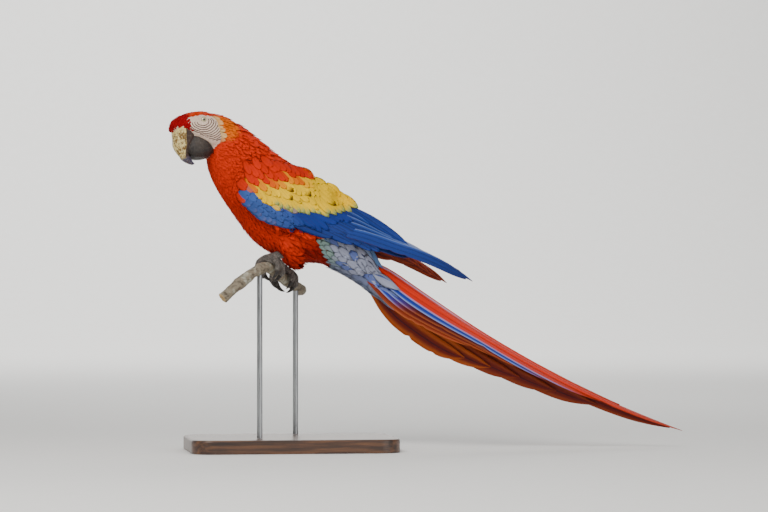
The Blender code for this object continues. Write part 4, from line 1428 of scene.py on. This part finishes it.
# The rearmost come first.
roots = roots[np.argsort(-(roots @ ROOT_AXIS))]
gap = covert_spacing(roots)
# The share rim darkens each covert's rim: painted shade, as dark lines between the feathers.
tail_coverts = lay_bed(
    "tail_coverts", root_surface, roots, np.tile(ROOT_AXIS, (len(roots), 1)), gap * 4.0,
    gap * 1.4, (-0.5 * MM, 2.5 * MM), POINTED_FEATHER, covert_tint, soft_feather,
    tips=(plain("#3C4A80", roots), np.full(len(roots), 0.25)), rim=0.55, ruffle=0.06, arch=0.03,
)
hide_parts("tail_coverts_upper", "tail_coverts_lower")


# %% [markdown]
# ## The bill
# The bill is horn over bone: the upper half ivory, flaking in ochre scales, with a dark wedge at
# the gape and a slate tip; the lower half is charcoal. Each half is its solid, remeshed finely,
# drawn up to meet the forehead and the cheek, and smoothed, so the facets go and the hook stays.

# %% Smooth copies of solids
def stand_for(obj, nodes):
    """Lets a finished piece stand for its solids."""
    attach(obj, "root")
    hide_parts(*nodes)
    print(obj.name, "faces:", len(obj.data.polygons))


def smooth_copy(name, nodes, voxel, rounds, swell, reshape=None):
    """A finely remeshed and smoothed copy of solids; lengths are in millimetres."""
    obj = merged_copy(name, nodes)
    apply_modifier(obj, "REMESH", mode="VOXEL", voxel_size=voxel * MM)
    if reshape:
        write_points(obj, reshape(read(obj.data.vertices, "co")))
    apply_modifier(obj, "SMOOTH", factor=0.5, iterations=rounds)
    normals = read(obj.data.vertices, "normal")
    write_points(obj, read(obj.data.vertices, "co") + swell * MM * normals)
    bpy.ops.object.shade_smooth()
    stand_for(obj, nodes)
    return obj


# %% Horn
def horn_material(name, stain, stain_share, flake, flake_share, roughness):
    """Keratin: stained in patches and flaking in thin scales, with a faint shine between."""
    look = Look(name, {"Roughness": roughness, "Specular IOR Level": 0.4})
    colour, wear = look.tint()
    patches = look.noise(260, 6, (1, 1, 1), 0.65)
    flakes = look.noise(520, 4, (1, 1, 0.55), 0.6)
    for height, low, code, most in ((patches, 0.46, stain, stain_share),
                                    (flakes, 0.54, flake, flake_share)):
        share = look.times(look.span(height, low, low + 0.08), wear)
        colour = look.mix(look.times(share, most), colour, code)
    look.link(colour)
    look.bump(look.maths("ADD", patches, look.times(flakes, 0.5)), 1.6 * MM)
    return look.material


ivory_horn = horn_material("ivory_horn", "#6A4812", 0.9, "#E9DDA8", 0.6, 0.5)
charcoal_horn = horn_material("charcoal_horn", "#3C322A", 0.5, "#564A40", 0.3, 0.32)
print("horn:", ivory_horn.name, charcoal_horn.name)

# %% Colours of the bill
# Where ivory gives way to the dark wedge, in the head's frame: millimetres back at heights
# from the tip to the gape.
WEDGE_UP = (-58, -46, -37, -29, -23, -15, -7)
WEDGE_BACK = (-30, -40, -37.5, -34, -33.5, -32, -31)


def upper_bill_tint(points):
    back, _, up = in_head(points).T
    colours = plain("#D8C27C", points)
    edge = np.interp(up, WEDGE_UP, WEDGE_BACK)
    wedge, tip = ease(back, edge - 0.8, edge + 0.8), ease(up, -44, -50)
    paint(colours, "#3A2A26", wedge)
    paint(colours, "#3C3A52", tip)
    wear = ease(up, -6, -12) * (1 - wedge) * (1 - 0.7 * tip) + 0.08
    return colours, wear


def lower_bill_tint(points):
    back, _, up = in_head(points).T
    colours = plain("#1D1714", points)
    # Painted sheen: a paler patch in the middle of the lower bill's side.
    paint(colours, "#3E342C", 0.7 * ease(np.hypot(back + 14, up + 33), 14, 4))
    return colours, np.full(len(points), 0.7)


# %% Shape of the bill
def taller_upper(points):
    """The horn's base runs up under the forehead and back to the gape."""
    back, side, up = in_head(points).T
    high = ease(up, -30, -6)
    shoulder = high * ease(back, -44, -32)
    rear = ease(back, -36, -26) * ease(up, -44, -34)
    front = ease(back, -36, -48) * ease(up, -28, -16)
    # The hook is blunter than its solid.
    middle = np.interp(up, (-58, -47), (-35.5, -42.5))
    blunt = 1.0 * ease(up, -42, -50) + 0.6 * ease(up, -52, -56)
    bulge = 2.6 * np.exp(-(((up + 52.5) / 3.5) ** 2)) * ease(back - middle, 0, 2.5)
    back = back + (back - middle) * blunt + bulge
    return from_head(np.stack([
        back + 4.2 + 2.0 * rear + 3.7 * front, side * (1 + 0.42 * high + 0.10 * rear),
        up + 6.5 * high + 4.5 * shoulder - 3.0 * ease(up, -40, -56),
    ], 1))


def taller_lower(points):
    """The lower half reaches further up and back than its solid, into the drawn-in skin."""
    back, side, up = in_head(points).T
    rear = ease(back, -26, 0)
    return from_head(np.stack([
        back + 1.5 + 2.6 * rear, side * 1.06,
        up - 1.5 + 9.0 * ease(up, -44, -27) - 4.6 * rear,
    ], 1))


for part, reshape, material, tint in (
    ("bill_upper", taller_upper, ivory_horn, upper_bill_tint),
    ("bill_lower", taller_lower, charcoal_horn, lower_bill_tint),
):
    piece = smooth_copy(f"{part}_horn", [part], voxel=0.7, rounds=8, swell=0.15, reshape=reshape)
    add_tint(piece.data, *tint(read(piece.data.vertices, "co")))
    piece.data.materials.append(material)

# %% [markdown]
# ## Eyes and lids
# A macaw's iris is pale straw round a small black pupil. Each eye is a ball with a slight bulge
# for the cornea, and a wet clear coat. A fleshy ring of bare skin closes round it.

# %% Colours of the eye
PUPIL = 1.6 * MM
IRIS = 4.1 * MM
LID = 4.6 * MM
EYE_REACH = 6 * MM  # the colours of the eye are told up to this far from the pupil's middle
EYE_RINGS = ((0.0, "#050505"), (PUPIL + 0.15 * MM, "#050505"), (PUPIL + 0.45 * MM, "#9A9068"))
EYE_RINGS += ((IRIS - 0.6 * MM, "#CFC49C"), (IRIS + 0.3 * MM, "#7A6E52"))


def eye_material(side, pupil_place):
    values = {"Roughness": 0.25, "Coat Weight": 1.0, "Coat Roughness": 0.02}
    look = Look(f"glass_eye_{side}", values)
    settings, inputs = {"operation": "DISTANCE"}, {0: look.place(), 1: tuple(pupil_place)}
    gap = look.node("ShaderNodeVectorMath", settings, inputs).outputs["Value"]
    streaks = look.times(look.noise(1500, 3), 0.5 * MM)
    place = look.maths("DIVIDE", look.maths("ADD", gap, streaks), EYE_REACH)
    look.link(look.ramp(place, *((radius / EYE_REACH, code) for radius, code in EYE_RINGS)))
    return look.material


face_skin = Look("bare_face_skin", {"Roughness": 0.5})
creases = face_skin.noise(900, 3, (1, 1, 2.2))
# The skin's tone varies, and where it is darker it is also lower: partly its own tone, partly
# painted shade in the creases.
face_skin.link(face_skin.ramp(creases, (0.35, "#C09880"), (0.62, "#E8D6C4")))
face_skin.bump(creases, 0.5 * MM)


# %% Eyes
def eye_frame(side):
    """Centre and gaze of an eye: out to the side and a little ahead."""
    gaze = unit(head_right * SIDES[side] - head_back * 0.15 - head_up * 0.17)
    return eyes[side] - head_up * 2.4 * MM - head_back * 0.5 * MM, gaze


def finish_round(name, material):
    """Names the round piece just added, and lets it ride."""
    piece = bpy.context.object
    piece.name = name
    bpy.ops.object.transform_apply(location=True, rotation=True, scale=True)
    bpy.ops.object.shade_smooth()
    piece.data.materials.append(material)
    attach(piece, "root")
    return piece


def add_eye(side):
    centre, gaze = eye_frame(side)
    turn = Vector(gaze).to_track_quat("Z", "Y").to_euler()
    deselect_all()
    bpy.ops.mesh.primitive_uv_sphere_add(
        segments=40, ring_count=24, radius=eye_radius - 0.2 * MM, location=centre, rotation=turn
    )
    for vertex in bpy.context.object.data.vertices:
        off_axis = sqrt(vertex.co.x**2 + vertex.co.y**2)
        if vertex.co.z > 0:
            vertex.co.z += 0.5 * MM * max(0.0, 1 - (off_axis / IRIS) ** 2)
    pupil_place = centre + gaze * (eye_radius + 0.2 * MM)
    ball = finish_round(f"eyeball_{side}", eye_material(side, pupil_place))
    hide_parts(f"eye_{side}")
    deselect_all()
    bpy.ops.mesh.primitive_torus_add(
        major_segments=48, minor_segments=14, major_radius=LID + 0.4 * MM,
        minor_radius=1.25 * MM, location=centre + gaze * (eye_radius - 2.5 * MM), rotation=turn,
    )
    finish_round(f"eyelids_{side}", face_skin.material)


for side in SIDES:
    add_eye(side)
print("gaze of the left eye:", eye_frame("left")[1])

# %% [markdown]
# ## Skin of the face and its feather lines
# The skin takes a second material over the cheeks. On it stand lines of tiny dark red feathers,
# in arcs round the lower side of the eye; each line is a row of the same small vane.

# %% Bare skin
skin.data.materials.append(face_skin.material)
centres = read(skin.data.polygons, "center")
bare = inside_face(centres, -0.8) | (depth_inside(HORN_EDGE, centres) > -2.5)
skin.data.polygons.foreach_set("material_index", bare.astype(np.int32))
print("bare faces:", bare.sum())

# %% Lines of feathers on the cheek
FACE_FEATHER = feather_template(2, 2, 1.6)
FACE_FEATHER_LENGTH = 2.6 * MM
FACE_FEATHER_WIDTH = 1.35 * MM
LINES = 17
LINE_STEP = 3.3  # millimetres between two lines of feathers
FEATHER_STEP = 1.5
CHEEK_OUT = 26.0  # the lines are drawn this far out and then pressed onto the cheek
MOST_SHIFT = 4.5  # where the cheek curves away the lines would bunch, and none are laid


def face_lines(side):
    parts = []
    for line in range(LINES):
        radius = 7.5 + LINE_STEP * line
        angles = np.arange(radians(-195), radians(10), FEATHER_STEP / radius)
        sag = 1 + 0.25 * np.abs(np.cos(angles))
        back = -3 + radius * np.cos(angles) * sag
        up = -4 + radius * np.sin(angles)
        way = np.stack([-np.sin(angles), np.zeros(len(angles)), np.cos(angles)], 1)
        parts.append((np.stack([back, np.full(len(back), SIDES[side] * CHEEK_OUT), up], 1), way))
    at, ways = joined(parts)
    at, ways = from_head(at), ways @ HEAD_AXES
    place = skin_surface.nearest(at)[0]
    shift = in_head(place) - in_head(at)
    keep = (depth_inside(FACE_EDGE, at) > 0.8) & (depth_inside(HORN_EDGE, at) < 1.5)
    keep &= np.hypot(shift[:, 0], shift[:, 2]) < MOST_SHIFT
    count = keep.sum()
    lay_bed(f"face_feathers_{side}", skin_surface, place[keep], ways[keep],
            np.full(count, FACE_FEATHER_LENGTH), np.full(count, FACE_FEATHER_WIDTH),
            (0.05 * MM, 0.45 * MM),
            FACE_FEATHER, lambda points: plain("#4A1E1A", points), soft_feather,
            thickness=0.15 * MM)


for side in SIDES:
    face_lines(side)


# %% [markdown]
# ## Feet and claws
# Parrots' feet are leathery, with small dark scales whose edges are paler. The toes are remeshed
# and smoothed. The scales are cells about 2.4 mm wide with a bump; the claws are dark horn.

# %% Scaly skin
scaly_skin = Look("scaly_leg_skin", {"Roughness": 0.6})
scales = scaly_skin.node(
    "ShaderNodeTexVoronoi", {"feature": "DISTANCE_TO_EDGE"},
    {"Vector": scaly_skin.place(), "Scale": 420.0},
).outputs["Distance"]
dark = scaly_skin.ramp(scaly_skin.noise(160, 3), (0.38, "#241F1D"), (0.64, "#4E4640"))
edges = scaly_skin.ramp(scales, (0.02, "#FFFFFF"), (0.14, "#000000"))
scaly_skin.link(scaly_skin.mix(scaly_skin.times(edges, 0.55), dark, "#9A928A"))
scaly_skin.bump(scaly_skin.ramp(scales, (0.0, "#000000"), (0.22, "#FFFFFF")), 0.6 * MM)

# %% Feet and claws
claw_horn = horn_material("claw_horn", "#4A423C", 0.5, "#6A6058", 0.3, 0.32)
for side in SIDES:
    foot = smooth_copy(f"foot_{side}_skin", [f"foot_{side}"], voxel=0.9, rounds=4, swell=0.25)
    foot.data.materials.append(scaly_skin.material)
    nodes = [f"claw_{k}_{side}" for k in range(1, 5)]
    claws = smooth_copy(f"claws_{side}_horn", nodes, voxel=0.55, rounds=3, swell=0.15)
    claws.data.materials.append(claw_horn)
    add_tint(claws.data, plain("#1E1A18", claws.data.vertices), 0.6)

# %% [markdown]
# ## The branch
# A short cut length of a living branch: grey, wrinkled bark with paler lichen, and sawn ends
# with pale wood. The remeshed copy is roughened with two sizes of noise along its normals.

# %% Branch
END_LENGTH = 45 * MM  # this much of the branch tells the direction of its end
SAWN_RADIUS = 26 * MM
branch = smooth_copy("perch_bark", ["perch_branch"], voxel=1.3, rounds=5, swell=0.2)
points = read(branch.data.vertices, "co")
normals = read(branch.data.vertices, "normal")
near_end = points[points[:, 0].argmin()]
far_end = points[np.linalg.norm(points - near_end, axis=1).argmax()]
sawn = np.zeros(len(points))
for end in (near_end, far_end):
    gap = np.linalg.norm(points - end, axis=1)
    outward = unit(end - points[gap < END_LENGTH].mean(0))
    sawn = np.maximum(sawn, (gap < SAWN_RADIUS) * ease(normals @ outward, 0.72, 0.86))
tint = plain("#877C6A", points)
paint(tint, "#C4A473", sawn)
add_tint(branch.data, tint, 1 - sawn)
for waves_per_metre, depth in ((90, 0.9 * MM), (330, 0.45 * MM)):
    waves = [mathutils_noise.noise(Vector(point) * waves_per_metre) for point in points.tolist()]
    points = points + normals * (np.array(waves) * depth)[:, None]
write_points(branch, points)

# %% Bark
bark = Look("grey_bark", {"Roughness": 0.85, "Specular IOR Level": 0.25})
colour, uncut = bark.tint()
lichen = bark.span(bark.noise(75, 5, (1, 1, 1), 0.6), 0.52, 0.60)
cracks = bark.span(bark.noise(300, 5, (0.5, 1, 1), 0.7), 0.36, 0.47)
colour = bark.mix(bark.times(bark.times(lichen, uncut), 0.7), colour, "#B4B3A2")
# Painted shade: the grooves of the bark are darkened.
crack_shade = bark.times(bark.maths("SUBTRACT", 1.0, cracks), 0.6)
bark.link(bark.mix(bark.times(crack_shade, uncut), colour, "#3A332A"))
bark.bump(cracks, 0.8 * MM)
branch.data.materials.append(bark.material)

# %% [markdown]
# ## The stand
# A lacquered walnut base and two brushed steel rods. Copies of the solids get a fine bevel, since
# a real edge is never quite sharp and catches a thin line of light.

# %% Bevelled copies
def bevelled_copy(name, node, width, material):
    obj = merged_copy(name, [node])
    apply_modifier(obj, "BEVEL", width=width, segments=3, limit_method="ANGLE", angle_limit=0.6)
    bpy.ops.object.shade_smooth()
    apply_modifier(obj, "WEIGHTED_NORMAL")
    obj.data.materials.append(material)
    stand_for(obj, [node])


# %% Walnut base
walnut = Look("lacquered_walnut", {"Roughness": 0.42, "Coat Weight": 0.35, "Coat Roughness": 0.18})
# Growth lines run along the board, about 3 mm apart, with pores as short dark dashes.
growth = walnut.noise(170, 5, (0.05, 1, 1), 0.6)
pores = walnut.noise(900, 2, (0.05, 1, 1))
grain = walnut.ramp(growth, (0.34, "#2A190F"), (0.5, "#4A2E1C"), (0.66, "#6A4428"))
pore_share = walnut.times(walnut.maths("LESS_THAN", pores, 0.4), 0.35)
walnut.link(walnut.mix(pore_share, grain, "#1C110A"))
walnut.bump(pores, 0.08 * MM)
bevelled_copy("stand_base_walnut", "stand_base", 1.2 * MM, walnut.material)

# %% Steel rods
# Brushed along the rods: streaks in the colour and in the roughness.
steel = Look("brushed_stainless_steel", {"Metallic": 1.0})
brushing = steel.noise(1200, 3, (1, 1, 0.03))
steel.link(steel.ramp(brushing, (0.3, "#8E9092"), (0.7, "#B4B6B8")))
steel.link(steel.maths("ADD", steel.times(brushing, 0.3), 0.16), "Roughness")
for end in ("near", "far"):
    bevelled_copy(f"stand_rod_{end}_steel", f"stand_rod_{end}", 0.5 * MM, steel.material)
